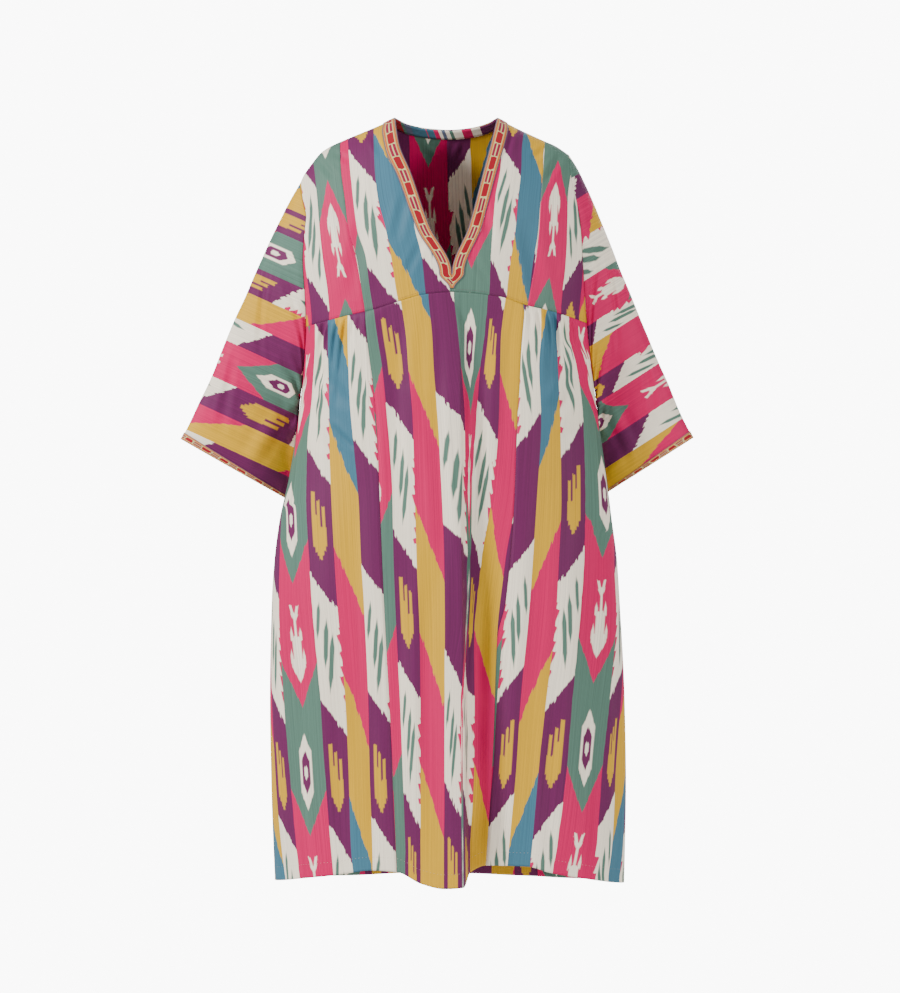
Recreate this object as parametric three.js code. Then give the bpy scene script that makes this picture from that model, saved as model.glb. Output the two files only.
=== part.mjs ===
// A Central Asian caftan, filled out as if worn, with nothing inside it.
// Millimetres, +Z up, the front facing -Y, left and right as seen from the front.
// The origin is where the wearer's neck carries it: between the two high points of the shoulders.
import * as THREE from 'three';

// ---- Driving dimensions ----------------------------------------------------------------------

const WALL = 1.5; // cloth, with its seam allowances pressed flat
const HEM_WALL = 2.5; // three layers of cloth in the turned-up hem
const HEM_TURN = 21; // height of the hem
const HEM_STEP = 1.5; // drop in which the wall thickens into the hem
const HEM_Z = -1190; // just below the lowest point of the hem
const GAP = 0.3; // between two pieces that are sewn together
const CURVED_GAP = 0.6; // the same where the seam is curved and its pieces turn apart
const ARMHOLE_GAP = 0.8; // and round the armhole, where they turn most
const BRAID_WALL = 1.2;
const BRAID_WIDTH = 18; // neck braid
const CUFF_BRAID_WIDTH = 12;
const UNDERARM_Z = -430;
const SKIRT_UNDERARM = 110; // the underarm's drop below the top of the skirt's sides
const BACK_UNDERARM = 382; // and below the top of the back
const SKIRT_LENGTH = 866;
const BACK_LENGTH = 1163;
const BACK_SETTLED = 0.45; // share of the back by which its grid lines are evenly spread
const SHOULDER_ROLL = 260; // drop over which the shoulder rounds into the chest
const ROUNDNESS = 0.8; // power of the body's sections: 1 is an ellipse, 0 a box
const NECK = { left: -82, right: 76 }; // high shoulder points

// Ridge of each shoulder from the neck to the armhole.
const SHOULDER_LEFT = [
  { x: -82, z: 0 }, { x: -105, z: -11 }, { x: -160, z: -34 }, { x: -180, z: -43 },
  { x: -197, z: -54 }, { x: -211, z: -71 }, { x: -223, z: -88 }, { x: -230, z: -103 },
];
const SHOULDER_RIGHT = [
  { x: 76, z: 0 }, { x: 91, z: -8 }, { x: 115, z: -20 }, { x: 150, z: -36 },
  { x: 166, z: -43 }, { x: 187, z: -57 },
];

// The edge of the body in front view: the armhole seam down to the underarm, then the side.
const EDGE_LEFT = [
  { z: -103, x: -230 }, { z: -135, x: -223 }, { z: -153, x: -219 }, { z: -181, x: -222 },
  { z: -220, x: -224 }, { z: -270, x: -221 }, { z: -324, x: -219 }, { z: -347, x: -220 },
  { z: -459, x: -231 }, { z: -560, x: -247 }, { z: -623, x: -261 }, { z: -685, x: -269 },
  { z: -747, x: -273 }, { z: -902, x: -276 }, { z: -1026, x: -274 }, { z: -1190, x: -268 },
];
const EDGE_RIGHT = [
  { z: -57, x: 187 }, { z: -90, x: 190 }, { z: -128, x: 198 }, { z: -163, x: 204 },
  { z: -225, x: 208 }, { z: -275, x: 211 }, { z: -317, x: 214 }, { z: -347, x: 217 },
  { z: -459, x: 232 }, { z: -560, x: 246 }, { z: -623, x: 254 }, { z: -685, x: 262 },
  { z: -747, x: 266 }, { z: -902, x: 274 }, { z: -1026, x: 276 }, { z: -1190, x: 273 },
];

// Depth of the body at its middle, and how far the armhole's rim stands off the mid plane.
const DEPTH = [
  { z: 0, front: 98, back: 88, rim: 46 },
  { z: -250, front: 108, back: 94, rim: 46 },
  { z: -300, front: 110, back: 96, rim: 43 },
  { z: -340, front: 112, back: 98, rim: 36 },
  { z: -380, front: 114, back: 100, rim: 26 },
  { z: -410, front: 116, back: 102, rim: 14 },
  { z: UNDERARM_Z, front: 118, back: 104, rim: 0 },
  { z: -600, front: 126, back: 116, rim: 0 },
  { z: -800, front: 134, back: 128, rim: 0 },
  { z: -1000, front: 140, back: 136, rim: 0 },
  { z: HEM_Z, front: 145, back: 142, rim: 0 },
];

// Neck edge of the front, from each high shoulder point to the V's point.
const V_LEFT = [
  { x: -82, z: 0 }, { x: -75, z: -43 }, { x: -57, z: -88 }, { x: -28, z: -172 }, { x: 6, z: -243 },
];
const V_RIGHT = [
  { x: 76, z: 0 }, { x: 66, z: -43 }, { x: 54, z: -88 }, { x: 32, z: -172 }, { x: 6, z: -243 },
];
const V_POINT = { x: 6, z: -243 };
const BRAID_TIP_Z = -267;
const BRAID_TIP_SHARE = 0.2; // of the braid's width, left at its tip
const V_DROP = 243;
const vSlant = 1.07; // width of the slanting neck braid, measured level
const shoulderSlant = 0.9; // and along the shoulder
const BACK_NECK = [
  { x: -82, z: 0 }, { x: -62, z: -9 }, { x: -30, z: -15 }, { x: 3, z: -17 },
  { x: 36, z: -14 }, { x: 60, z: -8 }, { x: 76, z: 0 },
];

// Seam between the yoke and the gathered skirt.
const YOKE_SEAM = [
  { x: -221, z: -325 }, { x: -190, z: -317 }, { x: -158, z: -309 }, { x: -114, z: -299 },
  { x: -78, z: -288 }, { x: -33, z: -276 }, { x: 6, z: -273 }, { x: 80, z: -280 },
  { x: 117, z: -292 }, { x: 156, z: -301 }, { x: 184, z: -309 }, { x: 214, z: -319 },
];

// The front skirt is joined from three loom widths; these are its two long seams.
const PANEL_SEAMS = [
  { z: -300, left: -127, right: 117 }, { z: -365, left: -121, right: 112 },
  { z: -420, left: -114, right: 110 }, { z: -468, left: -110, right: 107 },
  { z: -600, left: -104, right: 102 }, { z: -747, left: -98, right: 90 },
  { z: -806, left: -95, right: 77 }, { z: -955, left: -87, right: 72 },
  { z: -1190, left: -77, right: 58 },
];

const FRONT_HEM = [
  { x: -268, z: -1180 }, { x: -229, z: -1174 }, { x: -173, z: -1167 }, { x: -115, z: -1159 },
  { x: -78, z: -1161 }, { x: -39, z: -1179 }, { x: -6, z: -1186 }, { x: 23, z: -1184 },
  { x: 36, z: -1163 }, { x: 61, z: -1152 }, { x: 121, z: -1153 }, { x: 157, z: -1163 },
  { x: 219, z: -1175 }, { x: 273, z: -1184 },
];
const BACK_HEM = [
  { x: -268, z: -1180 }, { x: -175, z: -1181 }, { x: -67, z: -1178 }, { x: 36, z: -1179 },
  { x: 130, z: -1182 }, { x: 192, z: -1185 }, { x: 273, z: -1184 },
];

// Fold that falls from under the V: its left layer stands forward of its right layer.
const CENTRE_FOLD = [
  { z: -276, x: 11, forward: 0, back: 0, width: 10 },
  { z: -344, x: 21, forward: 4, back: 5, width: 8 },
  { z: -470, x: 22, forward: 7, back: 10, width: 8 },
  { z: -600, x: 23, forward: 8, back: 15, width: 9 },
  { z: -800, x: 26, forward: 11, back: 22, width: 10 },
  { z: -1000, x: 28, forward: 13, back: 27, width: 11 },
  { z: -1190, x: 30, forward: 15, back: 30, width: 12 },
];
const FOLD_SPREAD = 115; // how far each layer takes to lie back in the skirt
const EDGE_CALM = 6; // folds die out towards the sides with this power of the place across

// Gathers under the yoke seam. lean is the sideways run of a fold over its length.
const GATHERS = [
  { x: -212, lean: -4, width: 4.5, depth: 4, length: 70 },
  { x: -194, lean: -17, width: 6, depth: 9, length: 190 },
  { x: -181, lean: -14, width: 4.5, depth: 5, length: 120 },
  { x: -169, lean: -20, width: 5, depth: 6, length: 170 },
  { x: -157, lean: -24, width: 5, depth: 6, length: 210 },
  { x: -145, lean: -6, width: 4, depth: 4, length: 80 },
  { x: -135, lean: -2, width: 4, depth: 3, length: 60 },
  { x: 125, lean: 2, width: 4, depth: 3, length: 60 },
  { x: 137, lean: 5, width: 4.5, depth: 4, length: 90 },
  { x: 150, lean: 10, width: 5, depth: 6, length: 140 },
  { x: 162, lean: 14, width: 6, depth: 9, length: 170 },
  { x: 175, lean: 12, width: 5, depth: 6, length: 130 },
  { x: 189, lean: 10, width: 5, depth: 6, length: 110 },
  { x: 204, lean: 8, width: 4.5, depth: 4, length: 70 },
];
const GATHER_START = 7; // drop in which a gather opens below the seam
const GATHER_PUFF = { height: 8, length: 230, inner: 118, outer: 208, soft: 30 };

// Slow waves of the skirt. at is the place across the face, -1 the left side and 1 the right.
const FRONT_WAVES = [
  { at: -0.78, width: 0.16, height: -5, top: -480 },
  { at: -0.52, width: 0.17, height: 5, top: -560 },
  { at: 0.6, width: 0.16, height: 6, top: -520 },
  { at: 0.82, width: 0.13, height: -5, top: -480 },
];
const BACK_WAVES = [
  { at: -0.8, width: 0.13, height: -6, top: -420 },
  { at: -0.58, width: 0.15, height: 9, top: -380 },
  { at: -0.3, width: 0.15, height: -10, top: -330 },
  { at: -0.04, width: 0.15, height: 10, top: -260 },
  { at: 0.24, width: 0.14, height: -11, top: -340 },
  { at: 0.5, width: 0.14, height: 9, top: -400 },
  { at: 0.76, width: 0.13, height: -6, top: -430 },
];

// Each sleeve: its outer edge from the armhole to the cuff, and its cuff.
const SLEEVE_LEFT = {
  side: -1,
  top: { x: -230, z: -103 },
  outer: [
    { w: 0, x: -230, z: -103 }, { w: 0.07, x: -245, z: -130 }, { w: 0.11, x: -253, z: -144 },
    { w: 0.61, x: -344, z: -344 }, { w: 0.75, x: -367, z: -400 }, { w: 0.9, x: -395, z: -460 },
    { w: 1, x: -414, z: -498 },
  ],
  cuffInnerZ: -592,
};
const SLEEVE_RIGHT = {
  side: 1,
  top: { x: 187, z: -57 },
  outer: [
    { w: 0, x: 187, z: -57 }, { w: 0.07, x: 205, z: -87 }, { w: 0.18, x: 226, z: -133 },
    { w: 0.34, x: 256, z: -205 }, { w: 0.51, x: 285, z: -279 }, { w: 0.67, x: 315, z: -350 },
    { w: 0.8, x: 340, z: -408 }, { w: 0.92, x: 363, z: -462 }, { w: 1, x: 380, z: -496 },
  ],
  cuffInnerZ: -583,
};
const SLEEVE_DEPTH = [
  { w: 0, half: 46 }, { w: 0.3, half: 42 }, { w: 0.6, half: 34 }, { w: 1, half: 26 },
];
// How far back the cuff's two ends hang; the inner one gets there by this share of the sleeve.
const SLEEVE_BACKSET = { outer: 14, inner: 36, by: 0.7 };
const SLEEVE_CLEARANCE = [
  { w: 0, room: 0.45 }, { w: 0.05, room: 1.6 }, { w: 0.13, room: 3 }, { w: 1, room: 5 },
];
const ARMHOLE_BLEND = 0.35; // share of the sleeve that turns from the armhole's shape
const SAME_WAY = 0.5; // least cosine between the body's and the sleeve's faces to join them flush

// Grid lines: drops below the top edge in millimetres, and counts across.
const YOKE_DROPS = [0, 4, 11, 21, 35, 53, 75, 100, 128, 158, 190, 222];
const SKIRT_DROPS = [6, 15, 28, 46, 72, 110, 155, 210, 270, 340, 420, 500, 580, 660, 740, 800];
const BACK_DROPS = [
  7, 14, 18, 30, 48, 72, 102, 138, 180, 226, 276, 330, 382, 440, 500, 570, 650, 730, 810, 890,
  970, 1050, 1110,
];
const YOKE_COLUMNS = 9;
const SIDE_COLUMNS = 21;
const CENTRE_COLUMNS = { left: 6, step: 3, right: 5 };
const BACK_TOP_X = [
  -230, -222, -208, -188, -162, -130, -98, -82, -62, -40, -18, 3, 24, 42, 60, 76, 92, 116, 142,
  166, 187,
];
const SLEEVE_RINGS = [0, 0.05, 0.13, 0.26, 0.42, 0.6, 0.79];

// Small steps across and down a surface that its direction is worked out from.
const NUDGE = { place: 0.003, drop: 0.6, sleeve: 0.004 };

// ---- Curves ----------------------------------------------------------------------------------

const { clamp, lerp, smoothstep } = THREE.MathUtils;

// A smooth curve through a table's rows, without overshoot, held level past its ends.
function curve(rows, from, to) {
  const table = [...rows].sort((a, b) => a[from] - b[from]);
  const at = table.map((row) => row[from]);
  const value = table.map((row) => row[to]);
  const slope = at.slice(1).map((t, i) => (value[i + 1] - value[i]) / (t - at[i]));
  const tangent = value.map((_, i) => {
    if (i === 0) return slope[0];
    if (i === value.length - 1) return slope[i - 1];
    if (slope[i - 1] * slope[i] <= 0) return 0;
    return (2 * slope[i - 1] * slope[i]) / (slope[i - 1] + slope[i]);
  });
  return (place) => {
    const t = clamp(place, at[0], at.at(-1));
    let i = 0;
    while (i < at.length - 2 && t > at[i + 1]) i += 1;
    const span = at[i + 1] - at[i];
    const s = (t - at[i]) / span;
    const rise = s * s * (3 - 2 * s);
    const lead = s * (1 - s) * (1 - s) * span * tangent[i];
    const trail = s * s * (s - 1) * span * tangent[i + 1];
    return lerp(value[i], value[i + 1], rise) + lead + trail;
  };
}

// A point at a share of the length of a line of {x, z} rows.
function lineAt(rows) {
  const run = [0];
  for (let i = 1; i < rows.length; i += 1) {
    run.push(run[i - 1] + Math.hypot(rows[i].x - rows[i - 1].x, rows[i].z - rows[i - 1].z));
  }
  const measured = rows.map((row, i) => ({ s: run[i] / run.at(-1), x: row.x, z: row.z }));
  const x = curve(measured, 's', 'x');
  const z = curve(measured, 's', 'z');
  return (s) => ({ x: x(s), z: z(s) });
}

const bell = (t) => (Math.abs(t) < 1 ? (1 + Math.cos(Math.PI * t)) / 2 : 0);
const share = (i, count) => i / count;
const steps = (count) => Array.from({ length: count + 1 }, (_, i) => share(i, count));

const ridgeLeft = curve(SHOULDER_LEFT, 'x', 'z');
const ridgeRight = curve(SHOULDER_RIGHT, 'x', 'z');
const edgeLeft = curve(EDGE_LEFT, 'z', 'x');
const edgeRight = curve(EDGE_RIGHT, 'z', 'x');
const rim = curve(DEPTH, 'z', 'rim');
const backNeck = curve(BACK_NECK, 'x', 'z');
const yokeSeam = curve(YOKE_SEAM, 'x', 'z');
const seamLeft = curve(PANEL_SEAMS, 'z', 'left');
const seamRight = curve(PANEL_SEAMS, 'z', 'right');
const frontHem = curve(FRONT_HEM, 'x', 'z');
const backHem = curve(BACK_HEM, 'x', 'z');
const foldX = curve(CENTRE_FOLD, 'z', 'x');
const foldForward = curve(CENTRE_FOLD, 'z', 'forward');
const foldBack = curve(CENTRE_FOLD, 'z', 'back');
const foldWidth = curve(CENTRE_FOLD, 'z', 'width');

function ridge(x) {
  if (x < NECK.left) return ridgeLeft(x);
  if (x > NECK.right) return ridgeRight(x);
  return 0;
}

// ---- Folds: how far the cloth stands out of the plain body ------------------------------------

function centreFold(x, z) {
  const half = foldWidth(z) / 2;
  const from = foldX(z);
  const forward = foldForward(z);
  const back = foldBack(z);
  if (x < from - half) return forward * smoothstep(x, from - half - FOLD_SPREAD, from - half);
  if (x > from + half) return -back * (1 - smoothstep(x, from + half, from + half + FOLD_SPREAD));
  return lerp(forward, -back, smoothstep(x, from - half, from + half));
}

function gathers(x, z) {
  const drop = yokeSeam(x) - z;
  if (drop <= 0) return 0;
  const opening = 1 - Math.exp(-drop / GATHER_START);
  const { inner, outer, soft } = GATHER_PUFF;
  const inBand = smoothstep(Math.abs(x), inner - soft, inner + soft)
    * (1 - smoothstep(Math.abs(x), outer - soft, outer));
  const away = bell(clamp(drop / GATHER_PUFF.length, 0, 1));
  let out = GATHER_PUFF.height * inBand * opening * away;
  for (const fold of GATHERS) {
    const down = drop / fold.length;
    if (down >= 1) continue;
    const middle = fold.x + fold.lean * down;
    const width = fold.width * (1.4 + 1.6 * down);
    out -= fold.depth * opening * bell(down) * bell((x - middle) / width);
  }
  return out;
}

function waves(rows, place, z) {
  let out = 0;
  for (const wave of rows) {
    const grown = smoothstep(-z, -wave.top, -HEM_Z);
    out += wave.height * grown * bell((place - wave.at) / wave.width);
  }
  return out;
}

// ---- The body --------------------------------------------------------------------------------

const FRONT = {
  sign: -1,
  depth: curve(DEPTH, 'z', 'front'),
  fold: (place, x, z) => centreFold(x, z) + gathers(x, z) + waves(FRONT_WAVES, place, z),
};
const BACK = {
  sign: 1,
  depth: curve(DEPTH, 'z', 'back'),
  fold: (place, x, z) => waves(BACK_WAVES, place, z),
};

function section(face, place, z) {
  const reach = Math.abs(place < 0 ? edgeLeft(z) : edgeRight(z));
  const depth = face.depth(z);
  const sweep = Math.acos(Math.pow(rim(z) / depth, 1 / ROUNDNESS));
  return { reach, depth, sweep };
}

// place runs from -1 at the left edge to 1 at the right edge of a face.
function xAt(face, place, z) {
  const { reach, sweep } = section(face, place, z);
  const angle = Math.abs(place) * sweep;
  return (Math.sign(place) * reach * Math.sin(angle)) / Math.sin(sweep);
}

function placeAt(face, x, z) {
  const { reach, sweep } = section(face, x, z);
  const sine = Math.min(1, (Math.abs(x) / reach) * Math.sin(sweep));
  return (Math.sign(x) * Math.asin(sine)) / sweep;
}

function rollOff(x, z) {
  const left = 1 - clamp((ridge(x) - z) / SHOULDER_ROLL, 0, 1);
  return Math.sqrt(1 - left * left);
}

function plainPoint(face, place, z) {
  const { depth, sweep } = section(face, place, z);
  const x = xAt(face, place, z);
  const round = Math.pow(Math.max(0, Math.cos(Math.abs(place) * sweep)), ROUNDNESS);
  return new THREE.Vector3(x, face.sign * (GAP / 2 + depth * round * rollOff(x, z)), z);
}

function bodyPoint(face, place, z) {
  const point = plainPoint(face, place, z);
  const out = face.fold(place, point.x, z) * (1 - Math.pow(Math.abs(place), EDGE_CALM));
  if (out === 0) return point;
  const step = NUDGE.place;
  const near = plainPoint(face, Math.max(-1, place - step), z);
  const far = plainPoint(face, Math.min(1, place + step), z);
  const normal = new THREE.Vector3(far.y - near.y, near.x - far.x, 0).normalize();
  return point.addScaledVector(normal, -face.sign * out);
}

// Outward direction of the cloth. It is worked out across seams, so that joined pieces stay
// parallel: level on a ridge or a side seam, and of the plain body where a gathered edge starts.
function bodyNormal(face, place, z, edge) {
  const { place: turn, drop } = NUDGE;
  const pointAt = edge === 'gathered' ? plainPoint : bodyPoint;
  const across = pointAt(face, Math.min(1, place + turn), z);
  across.sub(pointAt(face, Math.max(-1, place - turn), z));
  const above = edge === 'ridge' ? 0 : drop;
  const down = pointAt(face, place, z - drop).sub(pointAt(face, place, z + above));
  const normal = across.cross(down).multiplyScalar(face.sign).normalize();
  const closed = edge === 'ridge' || (Math.abs(place) === 1 && z <= UNDERARM_Z);
  if (closed) normal.setY(0).normalize();
  return normal;
}

// ---- Solids ----------------------------------------------------------------------------------

// A closed wall on a grid of {point, normal} rows, between two distances from the grid.
// wrapped joins each row's end to its start; inner may be a function of the row.
function wall(name, rows, look, { outer = 0, inner = -WALL, wrapped = false } = {}) {
  const height = rows.length;
  const width = rows[0].length;
  const depthOf = typeof inner === 'function' ? inner : () => inner;
  const positions = [];
  for (const layer of [() => outer, depthOf]) {
    rows.forEach((row, i) => row.forEach(({ point, normal }) => {
      positions.push(...point.clone().addScaledVector(normal, layer(i)).toArray());
    }));
  }
  const index = [];
  const vertex = (layer, i, j) => (layer * height + i) * width + (j % width);
  const quad = (a, b, c, d) => index.push(a, b, c, a, c, d);
  const columns = wrapped ? width : width - 1;
  for (let j = 0; j < columns; j += 1) {
    for (let i = 0; i < height - 1; i += 1) {
      const [a, b, c, d] = [[i, j], [i + 1, j], [i + 1, j + 1], [i, j + 1]];
      quad(vertex(0, ...a), vertex(0, ...b), vertex(0, ...c), vertex(0, ...d));
      quad(vertex(1, ...a), vertex(1, ...d), vertex(1, ...c), vertex(1, ...b));
    }
    const last = height - 1;
    quad(vertex(0, 0, j), vertex(0, 0, j + 1), vertex(1, 0, j + 1), vertex(1, 0, j));
    quad(vertex(0, last, j + 1), vertex(0, last, j), vertex(1, last, j), vertex(1, last, j + 1));
  }
  if (!wrapped) {
    const last = width - 1;
    for (let i = 0; i < height - 1; i += 1) {
      quad(vertex(0, i + 1, 0), vertex(0, i, 0), vertex(1, i, 0), vertex(1, i + 1, 0));
      quad(vertex(0, i, last), vertex(0, i + 1, last), vertex(1, i + 1, last), vertex(1, i, last));
    }
  }
  return solid(name, positions, index, look);
}

function volume(positions, index) {
  const corner = (i) => new THREE.Vector3().fromArray(positions, index[i] * 3);
  let total = 0;
  for (let i = 0; i < index.length; i += 3) {
    total += corner(i).dot(corner(i + 1).cross(corner(i + 2)));
  }
  return total / 6;
}

function solid(name, positions, index, look) {
  const inward = volume(positions, index) < 0;
  const faces = inward ? index.toReversed() : index;
  const geometry = new THREE.BufferGeometry();
  geometry.setAttribute('position', new THREE.Float32BufferAttribute(positions, 3));
  geometry.setIndex(faces);
  geometry.computeVertexNormals();
  const mesh = new THREE.Mesh(geometry, new THREE.MeshStandardMaterial(look));
  mesh.name = name;
  return mesh;
}

const CLOTH = { color: 0xb8506f, roughness: 0.62, metalness: 0 };
const BRAID = { color: 0xb22a3c, roughness: 0.7, metalness: 0 };

// A patch between four edges, each a function from 0..1 to [place, z], as a function of u and v.
function patch({ left, right, top, bottom }) {
  const corner = { tl: top(0), tr: top(1), bl: bottom(0), br: bottom(1) };
  return (u, v) => [0, 1].map((k) => {
    const ruled = lerp(left(v)[k], right(v)[k], u) + lerp(top(u)[k], bottom(u)[k], v);
    const upper = lerp(corner.tl[k], corner.tr[k], u);
    const lower = lerp(corner.bl[k], corner.br[k], u);
    return ruled - lerp(upper, lower, v);
  });
}

function clothAt(face, place, z, edge = 'open') {
  return { point: bodyPoint(face, place, z), normal: bodyNormal(face, place, z, edge) };
}

// ---- Yoke ------------------------------------------------------------------------------------

// Half of the front yoke. Its rows run from the neck edge out to the armhole.
function yokeGrid({ side, shoulder, vEdge, edge }) {
  const inset = (side * GAP) / 2;
  const centreX = V_POINT.x;
  const neckLine = lineAt([...vEdge, { x: centreX, z: BRAID_TIP_Z }, {
    x: centreX, z: yokeSeam(centreX),
  }]);
  const shoulderLine = lineAt(shoulder);
  const top = shoulder.at(-1);
  const armholeEnd = YOKE_SEAM.at(side < 0 ? 0 : -1).z;
  const seamX = (u) => lerp(centreX + inset, edge(armholeEnd), u);
  const vLength = vEdge.slice(1).reduce((sum, p, i) => (
    sum + Math.hypot(p.x - vEdge[i].x, p.z - vEdge[i].z)), 0);
  const length = vLength + V_POINT.z - yokeSeam(centreX);
  const vPoint = vLength / length;
  const tip = (vLength + V_POINT.z - BRAID_TIP_Z) / length;
  const surface = patch({
    left: (v) => {
      const { x, z } = neckLine(v);
      return [x + inset * smoothstep(v, 0, vPoint), z];
    },
    right: (v) => {
      const z = lerp(top.z, armholeEnd, v);
      return [edge(z), z];
    },
    top: (u) => [shoulderLine(u).x, shoulderLine(u).z],
    bottom: (u) => [seamX(u), yokeSeam(seamX(u))],
  });
  const rows = [...YOKE_DROPS.map((drop) => (drop / V_DROP) * vPoint), vPoint];
  rows.push((vPoint + tip) / 2, tip, 1);
  return rows.map((v) => {
    const narrowing = lerp(1, BRAID_TIP_SHARE, smoothstep(v, vPoint, tip));
    const width = Math.abs(surface(1, v)[0] - surface(0, v)[0]);
    const slant = v === 0 ? shoulderSlant : vSlant;
    const braid = (narrowing * BRAID_WIDTH * slant) / width;
    const across = [0, braid / 2, ...steps(YOKE_COLUMNS).map((u) => lerp(braid, 1, u))];
    return across.map((u) => {
      const [x, z] = surface(u, v);
      const kind = { 0: 'ridge', 1: 'gathered' }[v] ?? 'open';
      return clothAt(FRONT, placeAt(FRONT, x, z), z, kind);
    });
  });
}

const YOKES = {
  left: { side: -1, shoulder: SHOULDER_LEFT, vEdge: V_LEFT, edge: edgeLeft },
  right: { side: 1, shoulder: SHOULDER_RIGHT, vEdge: V_RIGHT, edge: edgeRight },
};

const yokeLeft = yokeGrid(YOKES.left);
const yokeRight = yokeGrid(YOKES.right);

// Braid on the yoke's own points, down to the braid's tip under the V.
function neckBraid(name, yoke) {
  const rows = yoke.slice(0, -1).map((row) => row.slice(0, 3));
  return wall(name, rows, BRAID, { outer: GAP + BRAID_WALL, inner: GAP });
}

// The yoke's lower edge as built, straight from point to point, for the skirt to meet.
const yokeEdge = [...yokeLeft.at(-1).toReversed(), ...yokeRight.at(-1)].map(({ point }) => point);

function skirtTop(x) {
  const next = clamp(yokeEdge.findIndex((point) => point.x > x), 1, yokeEdge.length - 1);
  const [from, to] = [yokeEdge[next - 1], yokeEdge[next]];
  return lerp(from.z, to.z, (x - from.x) / (to.x - from.x)) - CURVED_GAP;
}

// ---- Front skirt -----------------------------------------------------------------------------

function hemDepth(rows) {
  return (i) => -(i < rows - 2 ? WALL : HEM_WALL);
}

// Shares of the way down a skirt whose middle is this long, ending in the hem's two rows.
function skirtRows(drops, length) {
  const hem = length - HEM_TURN;
  return [0, ...drops, hem - HEM_STEP, hem, length].map((drop) => drop / length);
}

// A guide line down the front skirt: x(z) between the yoke seam and the hem.
function guide(xOf) {
  const top = skirtTop(xOf(skirtTop(xOf(yokeSeam(0)))));
  const bottom = frontHem(xOf(frontHem(xOf(HEM_Z))));
  return (v) => {
    const z = lerp(top, bottom, v);
    return [placeAt(FRONT, xOf(z), z), z];
  };
}

// The outer edge of a side panel: armhole down to the underarm, then the side seam.
function sideGuide(side, underarmShare) {
  const top = YOKE_SEAM.at(side < 0 ? 0 : -1).z - CURVED_GAP;
  const bottom = FRONT_HEM.at(side < 0 ? 0 : -1).z;
  return (v) => {
    const above = lerp(top, UNDERARM_Z, v / underarmShare);
    const below = lerp(UNDERARM_Z, bottom, (v - underarmShare) / (1 - underarmShare));
    return [side, v < underarmShare ? above : below];
  };
}

function frontPanel(left, right, columns, rows) {
  const edgeRow = (v, xLine) => (u) => {
    const [start] = left(v);
    const [end] = right(v);
    const place = lerp(start, end, u);
    let z = lerp(left(v)[1], right(v)[1], u);
    for (let i = 0; i < 4; i += 1) z = xLine(xAt(FRONT, place, z));
    return [place, z];
  };
  const pin = (line, v) => (u) => {
    if (u === 0) return left(v);
    if (u === 1) return right(v);
    return line(u);
  };
  const surface = patch({
    left,
    right,
    top: pin(edgeRow(0, skirtTop), 0),
    bottom: pin(edgeRow(1, frontHem), 1),
  });
  return rows.map((v) => columns.map((u) => (
    clothAt(FRONT, ...surface(u, v), v === 0 ? 'gathered' : 'open'))));
}

const UNDERARM_ROW = SKIRT_UNDERARM / SKIRT_LENGTH;
const skirtShares = skirtRows(SKIRT_DROPS, SKIRT_LENGTH);
const panelGap = GAP / 2;
const guides = {
  leftSide: sideGuide(-1, UNDERARM_ROW),
  leftOuter: guide((z) => seamLeft(z) - panelGap),
  leftInner: guide((z) => seamLeft(z) + panelGap),
  foldFront: guide((z) => foldX(z) - foldWidth(z) / 2),
  foldRear: guide((z) => foldX(z) + foldWidth(z) / 2),
  rightInner: guide((z) => seamRight(z) - panelGap),
  rightOuter: guide((z) => seamRight(z) + panelGap),
  rightSide: sideGuide(1, UNDERARM_ROW),
};

function joinColumns(...parts) {
  return parts[0].map((row, i) => [
    ...row, ...parts.slice(1).flatMap((part) => part[i].slice(1)),
  ]);
}

const sideColumns = steps(SIDE_COLUMNS);
const skirtLeft = frontPanel(guides.leftSide, guides.leftOuter, sideColumns, skirtShares);
const skirtRight = frontPanel(guides.rightOuter, guides.rightSide, sideColumns, skirtShares);
const skirtCentre = joinColumns(
  frontPanel(guides.leftInner, guides.foldFront, steps(CENTRE_COLUMNS.left), skirtShares),
  frontPanel(guides.foldFront, guides.foldRear, steps(CENTRE_COLUMNS.step), skirtShares),
  frontPanel(guides.foldRear, guides.rightInner, steps(CENTRE_COLUMNS.right), skirtShares),
);

// ---- Back ------------------------------------------------------------------------------------

const BACK_UNDERARM_ROW = BACK_UNDERARM / BACK_LENGTH;

function backTop(x) {
  if (x < NECK.left || x > NECK.right) return ridge(x);
  return backNeck(x);
}

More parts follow.
